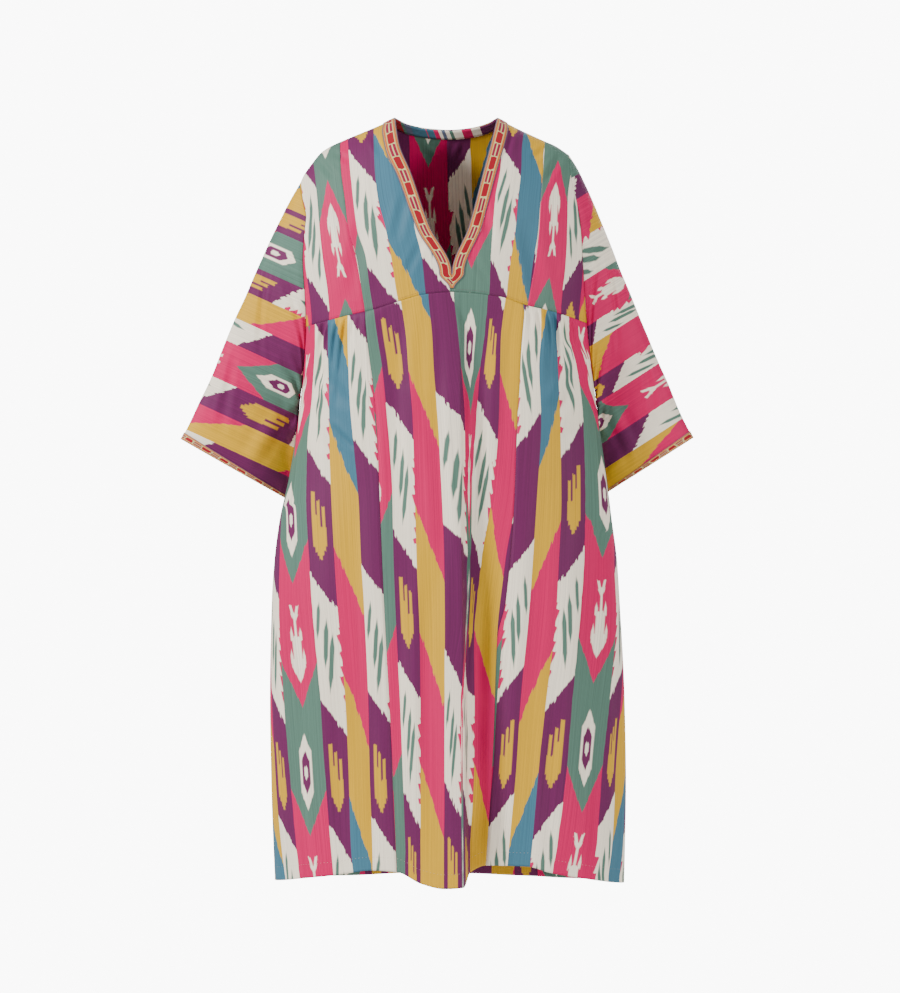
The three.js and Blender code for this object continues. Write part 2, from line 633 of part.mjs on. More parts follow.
function backGrid() {
  const sides = [
    { side: -1, top: SHOULDER_LEFT.at(-1), hem: BACK_HEM[0].z },
    { side: 1, top: SHOULDER_RIGHT.at(-1), hem: BACK_HEM.at(-1).z },
  ].map(({ side, top, hem }) => (v) => {
    const above = lerp(top.z, UNDERARM_Z, v / BACK_UNDERARM_ROW);
    const below = lerp(UNDERARM_Z, hem, (v - BACK_UNDERARM_ROW) / (1 - BACK_UNDERARM_ROW));
    return [side, v < BACK_UNDERARM_ROW ? above : below];
  });
  const last = BACK_TOP_X.length - 1;
  const columns = BACK_TOP_X.map((x, j) => {
    const top = [placeAt(BACK, x, backTop(x)), backTop(x)];
    const place = lerp(-1, 1, share(j, last));
    const bottom = [place, backHem(xAt(BACK, place, HEM_Z))];
    return { top, bottom };
  });
  return skirtRows(BACK_DROPS, BACK_LENGTH).map((v) => columns.map(({ top, bottom }, j) => {
    const u = share(j, last);
    const [leftEnd, rightEnd] = sides.map((side) => side(v)[1]);
    const [topLeft, topRight] = [columns[0].top[1], columns[last].top[1]];
    const [hemLeft, hemRight] = [columns[0].bottom[1], columns[last].bottom[1]];
    const corners = lerp(lerp(topLeft, topRight, u), lerp(hemLeft, hemRight, u), v);
    const z = lerp(leftEnd, rightEnd, u) + lerp(top[1], bottom[1], v) - corners;
    const settle = smoothstep(v, BRAID_WIDTH / BACK_LENGTH, BACK_SETTLED);
    const place = lerp(top[0], bottom[0], settle);
    const onShoulder = BACK_TOP_X[j] <= NECK.left || BACK_TOP_X[j] >= NECK.right;
    return clothAt(BACK, place, z, v === 0 && onShoulder ? 'ridge' : 'open');
  }));
}

const back = backGrid();
const neckColumns = { from: BACK_TOP_X.indexOf(-98), to: BACK_TOP_X.indexOf(92) };
const facingColumns = { from: BACK_TOP_X.indexOf(-82), to: BACK_TOP_X.indexOf(76) };
const part = (rows, count, { from, to }) => rows.slice(0, count).map((r) => r.slice(from, to + 1));

// ---- Sleeves ---------------------------------------------------------------------------------

const sleeveHalf = curve(SLEEVE_DEPTH, 'w', 'half');
const clearance = curve(SLEEVE_CLEARANCE, 'w', 'room');

// x of the back of the body at a height and a depth, from its section.
function backReach(side, z, y) {
  const { reach, depth, sweep } = section(BACK, side, z);
  const cosine = Math.pow(clamp(y / depth, 0, 1), 1 / ROUNDNESS);
  return (side * reach * Math.sqrt(1 - cosine * cosine)) / Math.sin(sweep);
}

function sleeveSurface({ side, top, outer, cuffInnerZ }) {
  const outerX = curve(outer, 'w', 'x');
  const outerZ = curve(outer, 'w', 'z');
  const ends = (w) => {
    const innerZ = lerp(UNDERARM_Z, cuffInnerZ, w);
    const innerY = SLEEVE_BACKSET.inner * smoothstep(w, 0, SLEEVE_BACKSET.by);
    const innerX = backReach(side, innerZ, innerY) + side * clearance(w);
    return [
      new THREE.Vector3(outerX(w), SLEEVE_BACKSET.outer * w, outerZ(w)),
      new THREE.Vector3(innerX, innerY, innerZ),
    ];
  };
  const tube = (w, angle) => {
    const [from, to] = ends(w);
    const point = from.clone().lerp(to, (1 - Math.cos(angle)) / 2);
    point.y -= sleeveHalf(w) * Math.sin(angle);
    return point;
  };
  const armhole = (angle) => {
    const z = lerp(top.z, UNDERARM_Z, (1 - Math.cos(angle)) / 2);
    const x = xAt(FRONT, side, z) + side * ARMHOLE_GAP;
    const stand = Math.abs(Math.sin(angle)) < 1e-6 ? 0 : rim(z) * rollOff(x, z);
    return new THREE.Vector3(x, -Math.sign(Math.sin(angle)) * stand, z);
  };
  return (w, angle) => {
    const held = 1 - smoothstep(w, 0, ARMHOLE_BLEND);
    return tube(w, angle).addScaledVector(armhole(angle).sub(tube(0, angle)), held);
  };
}

// Heights of the body's rows along an armhole: down its front, then up its back.
function armholeAngles({ side, top }, yoke, skirt) {
  const rowEnd = (row) => (side < 0 ? row[0] : row.at(-1)).point.z;
  const front = [...yoke.map((row) => row.at(-1).point.z), ...skirt.slice(1).map(rowEnd)];
  const angle = (z) => Math.acos(clamp(1 - (2 * (top.z - z)) / (top.z - UNDERARM_Z), -1, 1));
  const above = (z) => z > UNDERARM_Z + 1;
  const forward = front.filter(above).map(angle);
  const rear = back.map(rowEnd).filter((z) => above(z) && z < top.z - 0.1).map(angle);
  return [...forward, Math.PI, ...rear.toReversed().map((turn) => 2 * Math.PI - turn)];
}

function sleeveGrid(sleeve, yoke, skirt) {
  const surface = sleeveSurface(sleeve);
  const [start, end] = [sleeve.outer[0], sleeve.outer.at(-1)];
  const cuff = 1 - CUFF_BRAID_WIDTH / Math.hypot(start.x - end.x, start.z - end.z);
  const angles = armholeAngles(sleeve, yoke, skirt);
  return [...SLEEVE_RINGS, cuff, 1].map((w) => angles.map((angle) => {
    const point = surface(w, angle);
    const step = NUDGE.sleeve;
    const around = surface(w, angle + step).sub(surface(w, angle - step));
    const along = surface(Math.min(1, w + step), angle).sub(surface(Math.max(0, w - step), angle));
    const normal = around.cross(along).multiplyScalar(sleeve.side).normalize();
    if (w > 0) return { point, normal };
    const face = angle < Math.PI ? FRONT : BACK;
    const bodyWay = bodyNormal(face, sleeve.side, point.z, angle === 0 ? 'ridge' : 'open');
    return { point, normal: bodyWay.dot(normal) > SAME_WAY ? bodyWay : normal };
  }));
}

const sleeveLeft = sleeveGrid(SLEEVE_LEFT, yokeLeft, skirtLeft);
const sleeveRight = sleeveGrid(SLEEVE_RIGHT, yokeRight, skirtRight);

function cuffBraid(name, sleeve) {
  return wall(name, sleeve.slice(-2), BRAID, {
    outer: GAP + BRAID_WALL, inner: GAP, wrapped: true,
  });
}

// ---- The caftan ------------------------------------------------------------------------------

const hem = { inner: hemDepth(skirtShares.length) };
const backHemWall = { inner: hemDepth(back.length) };
const onBack = { outer: GAP + BRAID_WALL, inner: GAP };
const insideBack = { outer: -WALL - GAP, inner: -WALL - GAP - WALL };

const caftan = new THREE.Group();
caftan.add(
  wall('front_yoke_left', yokeLeft, CLOTH),
  wall('front_yoke_right', yokeRight, CLOTH),
  wall('skirt_front_left', skirtLeft, CLOTH, hem),
  wall('skirt_front_centre', skirtCentre, CLOTH, hem),
  wall('skirt_front_right', skirtRight, CLOTH, hem),
  wall('back', back, CLOTH, backHemWall),
  wall('back_neck_facing', part(back, 3, facingColumns), CLOTH, insideBack),
  wall('sleeve_left', sleeveLeft, CLOTH, { wrapped: true }),
  wall('sleeve_right', sleeveRight, CLOTH, { wrapped: true }),
  neckBraid('neck_braid_left', yokeLeft),
  neckBraid('neck_braid_right', yokeRight),
  wall('neck_braid_back', part(back, 4, neckColumns), BRAID, onBack),
  cuffBraid('cuff_braid_left', sleeveLeft),
  cuffBraid('cuff_braid_right', sleeveRight),
);

export default caftan;
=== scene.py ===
"""Looks of the ikat caftan: thin cloth on the part's form, braid, sewing, dyed pattern and light."""

import math
from functools import partialmethod

import bpy
import numpy as np
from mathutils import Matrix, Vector


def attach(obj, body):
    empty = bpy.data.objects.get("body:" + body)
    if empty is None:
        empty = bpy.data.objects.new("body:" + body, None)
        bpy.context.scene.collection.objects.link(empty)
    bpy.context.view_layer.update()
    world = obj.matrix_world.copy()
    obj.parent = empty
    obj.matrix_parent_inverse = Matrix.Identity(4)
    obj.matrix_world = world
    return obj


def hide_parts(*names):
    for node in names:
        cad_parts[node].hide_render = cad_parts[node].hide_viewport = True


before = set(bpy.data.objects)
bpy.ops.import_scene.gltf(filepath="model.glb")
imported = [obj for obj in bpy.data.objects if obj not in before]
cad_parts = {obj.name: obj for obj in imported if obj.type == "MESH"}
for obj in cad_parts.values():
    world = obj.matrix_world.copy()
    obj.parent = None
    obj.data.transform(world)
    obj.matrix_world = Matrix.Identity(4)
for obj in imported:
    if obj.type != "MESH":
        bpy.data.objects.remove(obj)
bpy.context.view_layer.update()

# ---- Measures, in millimetres, in the part's frame: the front faces -Y --------------------------

MM = 0.001
CLOTH = 1.0  # thickness
HEM_TURN = 21
HEM_EXTRA = 1.1  # the turned-up layers
HEM_FOLD = 1.5  # length of the step where they start
SEAM = 0.2
SIDE_GAP = 0.15  # from the middle to the front and to the back, at the side seams
BRAID_WIDTH = 18
FACING_WIDTH, FACING_GAP = 14, 0.15
CUFF_BRAID = 12
BRAID_LIFT = 0.2
BRAID_WALL, CUFF_THIN = 1.3, 0.8
UNDERARM_Z = -430
HEM_Z = -1190
# length of the cloth down the side of the front skirt and down the back, and where the underarm is
FRONT_RUN, BACK_RUN = 866, 1163
SKIRT_UNDERARM_SHARE, BACK_UNDERARM_SHARE = 110 / FRONT_RUN, 382 / BACK_RUN
SHOULDER_ROLL = 260
ROUNDNESS = 0.8
NECK_LEFT, NECK_RIGHT = -82, 76
V_POINT = (6, -243)
BRAID_TIP_Z = -267
BRAID_TIP_SHARE = 0.2

# (x, z) along each shoulder's ridge, from the neck out
SHOULDER_LEFT = [
    (-82, 0), (-105, -11), (-160, -34), (-180, -43), (-197, -54), (-211, -71), (-223, -88),
    (-230, -103),
]
SHOULDER_RIGHT = [(76, 0), (91, -8), (115, -20), (150, -36), (166, -43), (187, -57)]
# (z, x) of the body's edge: armhole, then side seam
EDGE_LEFT = [
    (-103, -230), (-135, -223), (-153, -219), (-181, -222), (-220, -224), (-270, -221),
    (-324, -219), (-347, -220), (-459, -231), (-560, -247), (-623, -261), (-685, -269),
    (-747, -273), (-902, -276), (-1026, -274), (-1190, -268),
]
EDGE_RIGHT = [
    (-57, 187), (-90, 190), (-128, 198), (-163, 204), (-225, 208), (-275, 211), (-317, 214),
    (-347, 217), (-459, 232), (-560, 246), (-623, 254), (-685, 262), (-747, 266), (-902, 274),
    (-1026, 276), (-1190, 273),
]
# z, depth of the front, of the back, and of the armhole's rim
DEPTH = [
    (0, 98, 88, 46), (-250, 108, 94, 46), (-300, 110, 96, 43), (-340, 112, 98, 36),
    (-380, 114, 100, 26), (-410, 116, 102, 14), (UNDERARM_Z, 118, 104, 0), (-600, 126, 116, 0),
    (-800, 134, 128, 0), (-1000, 140, 136, 0), (HEM_Z, 145, 142, 0),
]
V_LEFT = [(-82, 0), (-75, -43), (-57, -88), (-28, -172), V_POINT]
V_RIGHT = [(76, 0), (66, -43), (54, -88), (32, -172), V_POINT]
BACK_NECK = [(-82, 0), (-62, -9), (-30, -15), (3, -17), (36, -14), (60, -8), (76, 0)]
YOKE_SEAM = [
    (-221, -325), (-190, -317), (-158, -309), (-114, -299), (-78, -288), (-33, -276), (6, -273),
    (80, -280), (117, -292), (156, -301), (184, -309), (214, -319),
]
# z, and x of the two seams between the skirt's loom widths
PANEL_SEAMS = [
    (-300, -127, 117), (-365, -121, 112), (-420, -114, 110), (-468, -110, 107),
    (-600, -104, 102), (-747, -98, 90), (-806, -95, 77), (-955, -87, 72), (-1190, -77, 58),
]
FRONT_HEM = [
    (-268, -1180), (-229, -1174), (-173, -1167), (-115, -1159), (-78, -1161), (-39, -1179),
    (-6, -1186), (23, -1184), (36, -1163), (61, -1152), (121, -1153), (157, -1163),
    (219, -1175), (273, -1184),
]
BACK_HEM = [
    (-268, -1180), (-175, -1181), (-67, -1178), (36, -1179), (130, -1182), (192, -1185),
    (273, -1184),
]
# z, x, how far its left layer stands forward and its right layer back, and width of the step
CENTRE_FOLD = [
    (-276, 11, 0, 0, 10), (-344, 21, 4, 5, 8), (-470, 22, 7, 10, 8), (-600, 23, 8, 15, 9),
    (-800, 26, 11, 22, 10), (-1000, 28, 13, 27, 11), (-1190, 30, 15, 30, 12),
]
FOLD_SPREAD = 115
# x at the yoke seam, sideways lean, width, depth and length of each gather
GATHERS = [
    (-212, -4, 4.5, 4, 70), (-194, -17, 6, 9, 190), (-181, -14, 4.5, 5, 120),
    (-169, -20, 5, 6, 170), (-157, -24, 5, 6, 210), (-145, -6, 4, 4, 80),
    (-135, -2, 4, 3, 60), (125, 2, 4, 3, 60), (137, 5, 4.5, 4, 90), (150, 10, 5, 6, 140),
    (162, 14, 6, 9, 170), (175, 12, 5, 6, 130), (189, 10, 5, 6, 110), (204, 8, 4.5, 4, 70),
]
# the fine pleats between them
PLEATS = [
    (-207, 1, 2.6, 1.6, 22), (-201, -3, 2.8, 2.2, 34), (-187, -4, 2.6, 2.0, 27),
    (-175, -3, 2.6, 1.8, 36), (-163, -5, 2.8, 2.2, 30), (-151, -2, 2.6, 1.7, 24),
    (-140, -1, 2.6, 1.6, 30), (-129, 0, 2.6, 1.2, 20), (121, 0, 2.6, 1.3, 18),
    (131, 1, 2.8, 1.6, 28), (143, 3, 2.6, 2.0, 24), (156, 4, 2.8, 2.1, 38),
    (168, 3, 2.6, 1.9, 26), (182, 3, 2.8, 2.2, 33), (196, 2, 2.6, 1.9, 25),
    (209, 1, 2.6, 1.4, 18),
]
# how far below the yoke seam gathers and pleats have opened
GATHER_START, PLEAT_START = 7, 2.5
GATHER_ROWS = 40  # length of the finer rows below the yoke seam
GATHER_DEPTH, PLEAT_DEPTH, CREASE_DEPTH = 1.45, 1.5, 1.8
PUFF_HEIGHT, PUFF_LENGTH, PUFF_INNER, PUFF_OUTER, PUFF_SOFT = 8, 230, 118, 208, 30
# place across the face, width, height and top of each slow wave
FRONT_WAVES = [
    (-0.78, 0.16, -5, -480), (-0.52, 0.17, 5, -560), (0.6, 0.16, 6, -520), (0.82, 0.13, -5, -480),
]
BACK_WAVES = [
    (-0.8, 0.13, -6, -420), (-0.58, 0.15, 9, -380), (-0.3, 0.15, -10, -330),
    (-0.04, 0.15, 10, -260), (0.24, 0.14, -11, -340), (0.5, 0.14, 9, -400),
    (0.76, 0.13, -6, -430),
]
# start and end (x, z), width and depth of each crease; a negative depth is a ridge
FRONT_CREASES = [
    (-213, -116, -207, -192, 6, 2.4), (-219, -150, -196, -232, 8, 1.6),
    (200, -150, 192, -228, 6, 2.2), (207, -200, 180, -262, 8, 1.5),
    (-206, -58, -176, -96, 7, 1.8), (-188, -48, -150, -70, 6, 1.2),
    (176, -56, 148, -104, 7, 1.8), (158, -44, 128, -66, 6, 1.2),
    (-118, -20, -104, -62, 6, 1.2), (99, -17, 88, -60, 6, 1.3),
    (-64, -118, -82, -196, 9, 1.5), (-38, -190, -66, -250, 7, 1.2),
    (52, -130, 66, -205, 9, 1.5), (30, -205, 62, -258, 7, 1.2),
    (-130, -150, -150, -285, 14, 1.6), (118, -160, 140, -285, 14, 1.6),
    (-181, -476, -144, -515, 6, 2.0), (-212, -372, -150, -452, 12, 2.2),
    (206, -380, 160, -455, 12, 2.2), (214, -440, 176, -500, 9, 1.4),
    (-218, -440, -190, -520, 10, 1.6), (-60, -300, -46, -560, 12, -1.6),
    (-84, -330, -74, -640, 13, 1.8), (-20, -330, -8, -720, 12, 1.6),
    (48, -320, 46, -610, 12, 1.9), (78, -310, 70, -560, 11, -1.6),
    (-30, -640, -22, -1150, 16, 2.0), (-58, -720, -52, -1160, 14, -1.8),
    (52, -720, 46, -1140, 12, 2.4), (-150, -560, -128, -1150, 18, 2.2),
    (-196, -640, -186, -1165, 18, -2.2), (-236, -760, -232, -1170, 16, 2.2),
    (96, -820, 92, -1140, 12, -1.8), (140, -560, 124, -1140, 18, 2.2),
    (190, -600, 176, -1160, 18, -2.4), (228, -700, 222, -1170, 16, 2.4),
    (-120, -900, -112, -1150, 11, 1.6), (158, -930, 150, -1155, 11, 1.5),
]
BACK_CREASES = [
    (-42, -34, -12, -60, 6, 1.2), (18, -34, 6, -62, 5, 1.0), (-205, -120, -176, -215, 9, 2.2),
    (186, -110, 168, -200, 9, 2.2), (-150, -40, -128, -120, 10, 1.5),
    (128, -38, 112, -124, 10, 1.6), (-214, -330, -150, -450, 12, 2.4),
    (208, -330, 146, -462, 12, 2.3), (-90, -180, -108, -420, 16, 1.8),
    (84, -190, 98, -400, 16, 1.7), (-30, -120, -44, -470, 18, -1.8),
    (34, -150, 30, -520, 18, 1.8), (-120, -500, -140, -1100, 18, 2.4),
    (-66, -620, -74, -1140, 15, 2.2), (4, -560, 8, -1150, 16, 2.4),
    (70, -600, 80, -1140, 15, 2.2), (128, -520, 150, -1120, 18, 2.4),
    (-190, -560, -206, -1150, 17, -2.4), (196, -600, 210, -1150, 17, -2.2),
    (-226, -480, -240, -900, 14, 2.0), (222, -470, 240, -880, 14, 2.0),
]
# how soon folds fade at the side edges and below the shoulder, and a small step across the face
EDGE_CALM, SHOULDER_CALM, NUDGE = 6, 22, 0.003

# w from the armhole to the cuff, then x and z of the sleeve's outer edge
SLEEVES = {
    "left": {
        "side": -1, "top": (-230, -103), "cuff_inner_z": -592,
        "outer": [
            (0, -230, -103), (0.07, -245, -130), (0.11, -253, -144), (0.61, -344, -344),
            (0.75, -367, -400), (0.9, -395, -460), (1, -414, -498),
        ],
    },
    "right": {
        "side": 1, "top": (187, -57), "cuff_inner_z": -583,
        "outer": [
            (0, 187, -57), (0.07, 205, -87), (0.18, 226, -133), (0.34, 256, -205),
            (0.51, 285, -279), (0.67, 315, -350), (0.8, 340, -408), (0.92, 363, -462),
            (1, 380, -496),
        ],
    },
}
SLEEVE_DEPTH = [(0, 46), (0.3, 42), (0.6, 34), (1, 26)]
SLEEVE_ROOM = [(0, 0.3), (0.3, 0.35), (0.5, 1.0), (1, 1.4)]
# how far back the cuff's outer and inner edge stand, and w by which the inner edge is there
CUFF_BACK_OUTER, CUFF_BACK_INNER, CUFF_BACK_BY = 14, 36, 0.55
ARMHOLE_BLEND, ARMHOLE_OFF = 0.35, 0.4
SLEEVE_RUN, SLEEVE_TURN = 430, 90  # nominal length, and girth for each radian
# start and end (w, angle round the sleeve), width and depth of each crease
SLEEVE_CREASES = [
    (0.04, 2.9, 0.34, 1.7, 11, 2.6), (0.1, 3.0, 0.5, 2.2, 12, 2.2), (0.02, 2.3, 0.2, 1.0, 9, 1.8),
    (0.3, 2.9, 0.62, 2.4, 10, 1.6), (0.25, 0.5, 0.5, 1.3, 12, 1.5), (0.6, 0.7, 0.9, 1.1, 12, 1.4),
    (0.55, 2.0, 0.95, 1.7, 13, -1.6), (0.04, -2.9, 0.4, -1.8, 11, 2.6),
    (0.12, -3.0, 0.55, -2.3, 12, 2.1), (0.03, -2.2, 0.22, -1.1, 9, 1.9),
    (0.35, -2.8, 0.65, -2.3, 10, 1.5), (0.2, -0.6, 0.5, -1.2, 12, 1.6),
    (0.6, -0.8, 0.92, -1.2, 12, 1.5), (0.5, -1.9, 0.95, -1.6, 13, -1.6),
]

# ---- Curves ------------------------------------------------------------------------------------


def clamp(value, low=0.0, high=1.0):
    return np.minimum(np.maximum(value, low), high)


def lerp(a, b, t):
    return a + (b - a) * t


def smoothstep(value, low, high):
    t = clamp((value - low) / (high - low))
    return t * t * (3 - 2 * t)


def bell(t):
    return np.where(np.abs(t) < 1, (1 + np.cos(np.pi * clamp(t, -1, 1))) / 2, 0)


def curve(rows, value_at=1):
    """A smooth curve through rows without overshoot, held level past its ends."""
    table = sorted((row[0], row[value_at]) for row in rows)
    at, value = np.array(table, float).T
    slope = np.diff(value) / np.diff(at)
    product = slope[:-1] * slope[1:]
    total = np.where(product > 0, slope[:-1] + slope[1:], 1)
    middle = np.where(product > 0, 2 * product / total, 0)
    tangent = np.concatenate([slope[:1], middle, slope[-1:]])

    def height(place):
        t = clamp(np.asarray(place, float), at[0], at[-1])
        i = np.clip(np.searchsorted(at, t) - 1, 0, len(at) - 2)
        span = at[i + 1] - at[i]
        s = (t - at[i]) / span
        rise = s * s * (3 - 2 * s)
        lead = s * (1 - s) ** 2 * span * tangent[i]
        trail = s * s * (s - 1) * span * tangent[i + 1]
        return lerp(value[i], value[i + 1], rise) + lead + trail

    return height


def along(rows):
    """x and z at a share of the length of a line of (x, z) rows."""
    points = np.array(rows, float)
    run = np.concatenate([[0], np.cumsum(np.hypot(*np.diff(points, axis=0).T))])
    share = run / run[-1]
    x = curve(list(zip(share, points[:, 0])))
    z = curve(list(zip(share, points[:, 1])))
    return lambda s: (x(s), z(s))


ridge_left, ridge_right = curve(SHOULDER_LEFT), curve(SHOULDER_RIGHT)
edge_left, edge_right = curve(EDGE_LEFT), curve(EDGE_RIGHT)
depth_front, depth_back, rim = (curve(DEPTH, k) for k in (1, 2, 3))
back_neck, yoke_seam = curve(BACK_NECK), curve(YOKE_SEAM)
seam_left, seam_right = curve(PANEL_SEAMS, 1), curve(PANEL_SEAMS, 2)
front_hem, back_hem = curve(FRONT_HEM), curve(BACK_HEM)
fold_x, fold_forward, fold_back, fold_width = (curve(CENTRE_FOLD, k) for k in (1, 2, 3, 4))
sleeve_half, sleeve_room = curve(SLEEVE_DEPTH), curve(SLEEVE_ROOM)


def ridge(x):
    inside = (x >= NECK_LEFT) & (x <= NECK_RIGHT)
    return np.where(inside, 0, np.where(x < NECK_LEFT, ridge_left(x), ridge_right(x)))


# ---- Folds -------------------------------------------------------------------------------------


def centre_fold(x, z):
    half, middle = fold_width(z) / 2, fold_x(z)
    forward, backward = fold_forward(z), fold_back(z)
    left = forward * smoothstep(x, middle - half - FOLD_SPREAD, middle - half)
    right = -backward * (1 - smoothstep(x, middle + half, middle + half + FOLD_SPREAD))
    step = lerp(forward, -backward, smoothstep(x, middle - half, middle + half))
    return np.where(x < middle - half, left, np.where(x > middle + half, right, step))


def gathers(x, z):
    drop = yoke_seam(x) - z
    opening = 1 - np.exp(-np.maximum(drop, 0) / GATHER_START)
    rise = smoothstep(np.abs(x), PUFF_INNER - PUFF_SOFT, PUFF_INNER + PUFF_SOFT)
    fall = 1 - smoothstep(np.abs(x), PUFF_OUTER - PUFF_SOFT, PUFF_OUTER)
    out = PUFF_HEIGHT * rise * fall * opening * bell(clamp(drop / PUFF_LENGTH))
    for at, lean, width, depth, length in GATHERS:
        down = clamp(drop / length)
        trough = bell((x - at - lean * down) / (width * (1.05 + 1.9 * down)))
        out -= GATHER_DEPTH * depth * opening * bell(down) * trough
    fine = 1 - np.exp(-np.maximum(drop, 0) / PLEAT_START)
    for at, lean, width, depth, length in PLEATS:
        down = clamp(drop / length)
        trough = bell((x - at - lean * down) / (width * (1.2 + down)))
        out -= PLEAT_DEPTH * depth * fine * bell(down) * trough
    return np.where(drop > 0, out, 0)


def waves(rows, place, z):
    out = np.zeros(np.broadcast(place, z).shape)
    for at, width, height, top in rows:
        out += height * smoothstep(-z, -top, -HEM_Z) * bell((place - at) / width)
    return out


def creases(rows, x, z):
    """Soft troughs with low banks, each along its own line."""
    out = np.zeros(np.broadcast(x, z).shape)
    for x0, z0, x1, z1, width, depth in rows:
        run_x, run_z = x1 - x0, z1 - z0
        length = math.hypot(run_x, run_z)
        t = ((x - x0) * run_x + (z - z0) * run_z) / length**2
        away = ((x - x0) * run_z - (z - z0) * run_x) / length
        bow = away + 0.06 * length * (t - 0.5) ** 2
        swell = np.sin(np.pi * clamp(t)) ** 0.7
        bank = bell((np.abs(bow) - 1.5 * width) / width)
        out += CREASE_DEPTH * depth * swell * (0.35 * bank - bell(bow / (1.3 * width)))
    return out


def calm_cloth(x, z):
    """The slight unevenness of hung cloth."""
    slow = np.sin(x / 31 + z / 83) + np.sin(x / 19 - z / 127 + 1.7)
    return 0.28 * slow + 0.2 * np.sin(x / 11 + np.sin(z / 47) * 2 + 0.4)


def hem_pucker(x, z, hem):
    line = hem(x) + HEM_TURN
    ripple = np.sin(x / 2.9 + np.sin(x / 13) * 1.6)
    return 0.3 * ripple * bell((z - line) / 9)


def front_fold(place, x, z):
    out = centre_fold(x, z) + gathers(x, z) + waves(FRONT_WAVES, place, z)
    return out + creases(FRONT_CREASES, x, z) + calm_cloth(x, z) + hem_pucker(x, z, front_hem)


def back_fold(place, x, z):
    out = waves(BACK_WAVES, place, z) + creases(BACK_CREASES, x, z)
    return out + calm_cloth(x + 40, z) + hem_pucker(x, z, back_hem)


# ---- The body ----------------------------------------------------------------------------------

FRONT = {"sign": -1, "depth": depth_front, "fold": front_fold}
BACK = {"sign": 1, "depth": depth_back, "fold": back_fold}


def section(face, side, z):
    reach = np.abs(np.where(side < 0, edge_left(z), edge_right(z)))
    depth = face["depth"](z)
    return reach, depth, np.arccos((rim(z) / depth) ** (1 / ROUNDNESS))


def x_at(face, place, z):
    reach, _, sweep = section(face, place, z)
    return np.sign(place) * reach * np.sin(np.abs(place) * sweep) / np.sin(sweep)


def place_at(face, x, z):
    reach, _, sweep = section(face, x, z)
    sine = np.minimum(1, np.abs(x) / reach * np.sin(sweep))
    return np.sign(x) * np.arcsin(sine) / sweep


def roll_off(x, z):
    left = 1 - clamp((ridge(x) - z) / SHOULDER_ROLL)
    return np.sqrt(1 - left * left)


def plain_point(face, place, z):
    _, depth, sweep = section(face, place, z)
    x = x_at(face, place, z)
    round_off = np.maximum(0, np.cos(np.abs(place) * sweep)) ** ROUNDNESS
    y = face["sign"] * (SIDE_GAP + depth * round_off * roll_off(x, z))
    return np.stack([x, y, z + 0 * x], axis=-1)


def body_point(face, place, z):
    point = plain_point(face, place, z)
    out = face["fold"](place, point[..., 0], z) * (1 - np.abs(place) ** EDGE_CALM)
    near = plain_point(face, np.maximum(-1, place - NUDGE), z)
    far = plain_point(face, np.minimum(1, place + NUDGE), z)
    normal = np.stack(
        [far[..., 1] - near[..., 1], near[..., 0] - far[..., 0], 0 * out], axis=-1
    )
    normal /= np.linalg.norm(normal, axis=-1, keepdims=True)
    calm = smoothstep(ridge(point[..., 0]) - z, 0, SHOULDER_CALM)
    return point - normal * (face["sign"] * out * calm)[..., None]


def normals(points, toward):
    """Unit normals of a grid of points, on the side of the sign of toward times rows x columns."""
    down = np.gradient(points, axis=0)
    across = np.gradient(points, axis=1)
    normal = np.cross(across, down) * toward
    return normal / np.maximum(np.linalg.norm(normal, axis=-1, keepdims=True), 1e-9)


def level(normal, chosen):
    """Turns the chosen normals into the plane of the garment's edge."""
    flat = normal * [1, 0, 1]
    flat /= np.maximum(np.linalg.norm(flat, axis=-1, keepdims=True), 1e-9)
    return np.where(chosen[..., None], flat, normal)


def cloth_grid(face, place, z, ridge_row=False):
    points = body_point(face, place, z)
    way = np.sign(points[-1, -1, 0] - points[-1, 0, 0])
    normal = normals(points, face["sign"] * way)
    edge = (np.abs(place) > 0.9999) & (points[..., 2] <= UNDERARM_Z + 1)
    if ridge_row:
        x = points[..., 0]
        edge[0] |= (x[0] <= NECK_LEFT) | (x[0] >= NECK_RIGHT)
    return points, level(normal, edge)


# ---- Where the dyed columns of the cloth lie ----------------------------------------------------
# The ikat repeats every 250 chart steps along its warp, and its columns follow each other
# across the cloth in the order A B C D. A column's number changes by one at each line below.

STEP = 1.55
REPEAT = 250
WIDTHS = 37, 60, 36, 37  # usual widths of columns A B C D
MORE = 12  # columns carried on past the outermost lines

# z, then x of the lines between the columns
LEFT_LINES = [
    (-356, -225, -205, -185, -154), (-437, -234, -210, -183, -151), (-515, -245, -217, -182, -144),
    (-592, -256, -218, -179, -137), (-685, -260, -213, -174, -133), (-747, -261, -209, -170, -129),
    (-902, -253, -195, -157, -122), (-1011, -244, -188, -152, -120),
    (-1119, -234, -179, -149, -116), (-1173, -228, -175, -144, -115),
]
CENTRE_LINES = [
    (-282, -116, -73, -30, 9, 62, 88), (-344, -108, -64, -24, 16, 56, 81),
    (-386, -101, -61, -22, 20, 50, 80), (-468, -93, -54, -16, 26, 43, 78),
    (-577, -85, -51, -10, 28, 36, 69), (-685, -83, -48, -6, 31, 34, 51),
    (-809, -78, -43, -5, 26, 29, 40), (-902, -73, -42, -5, 21, 23, 41),
    (-1011, -69, -42, -5, 20, 22, 40), (-1119, -65, -42, -6, 22, 23, 34),
]
RIGHT_LINES = [
    (-344, 143, 167, 186, 232), (-386, 140, 169, 198, 244), (-468, 143, 172, 208, 254),
    (-592, 136, 174, 211, 257), (-685, 130, 170, 209, 257), (-766, 124, 166, 203, 260),
    (-902, 111, 150, 190, 249), (-1011, 104, 138, 181, 237), (-1119, 94, 129, 167, 229),
    (-1166, 90, 124, 159, 222),
]
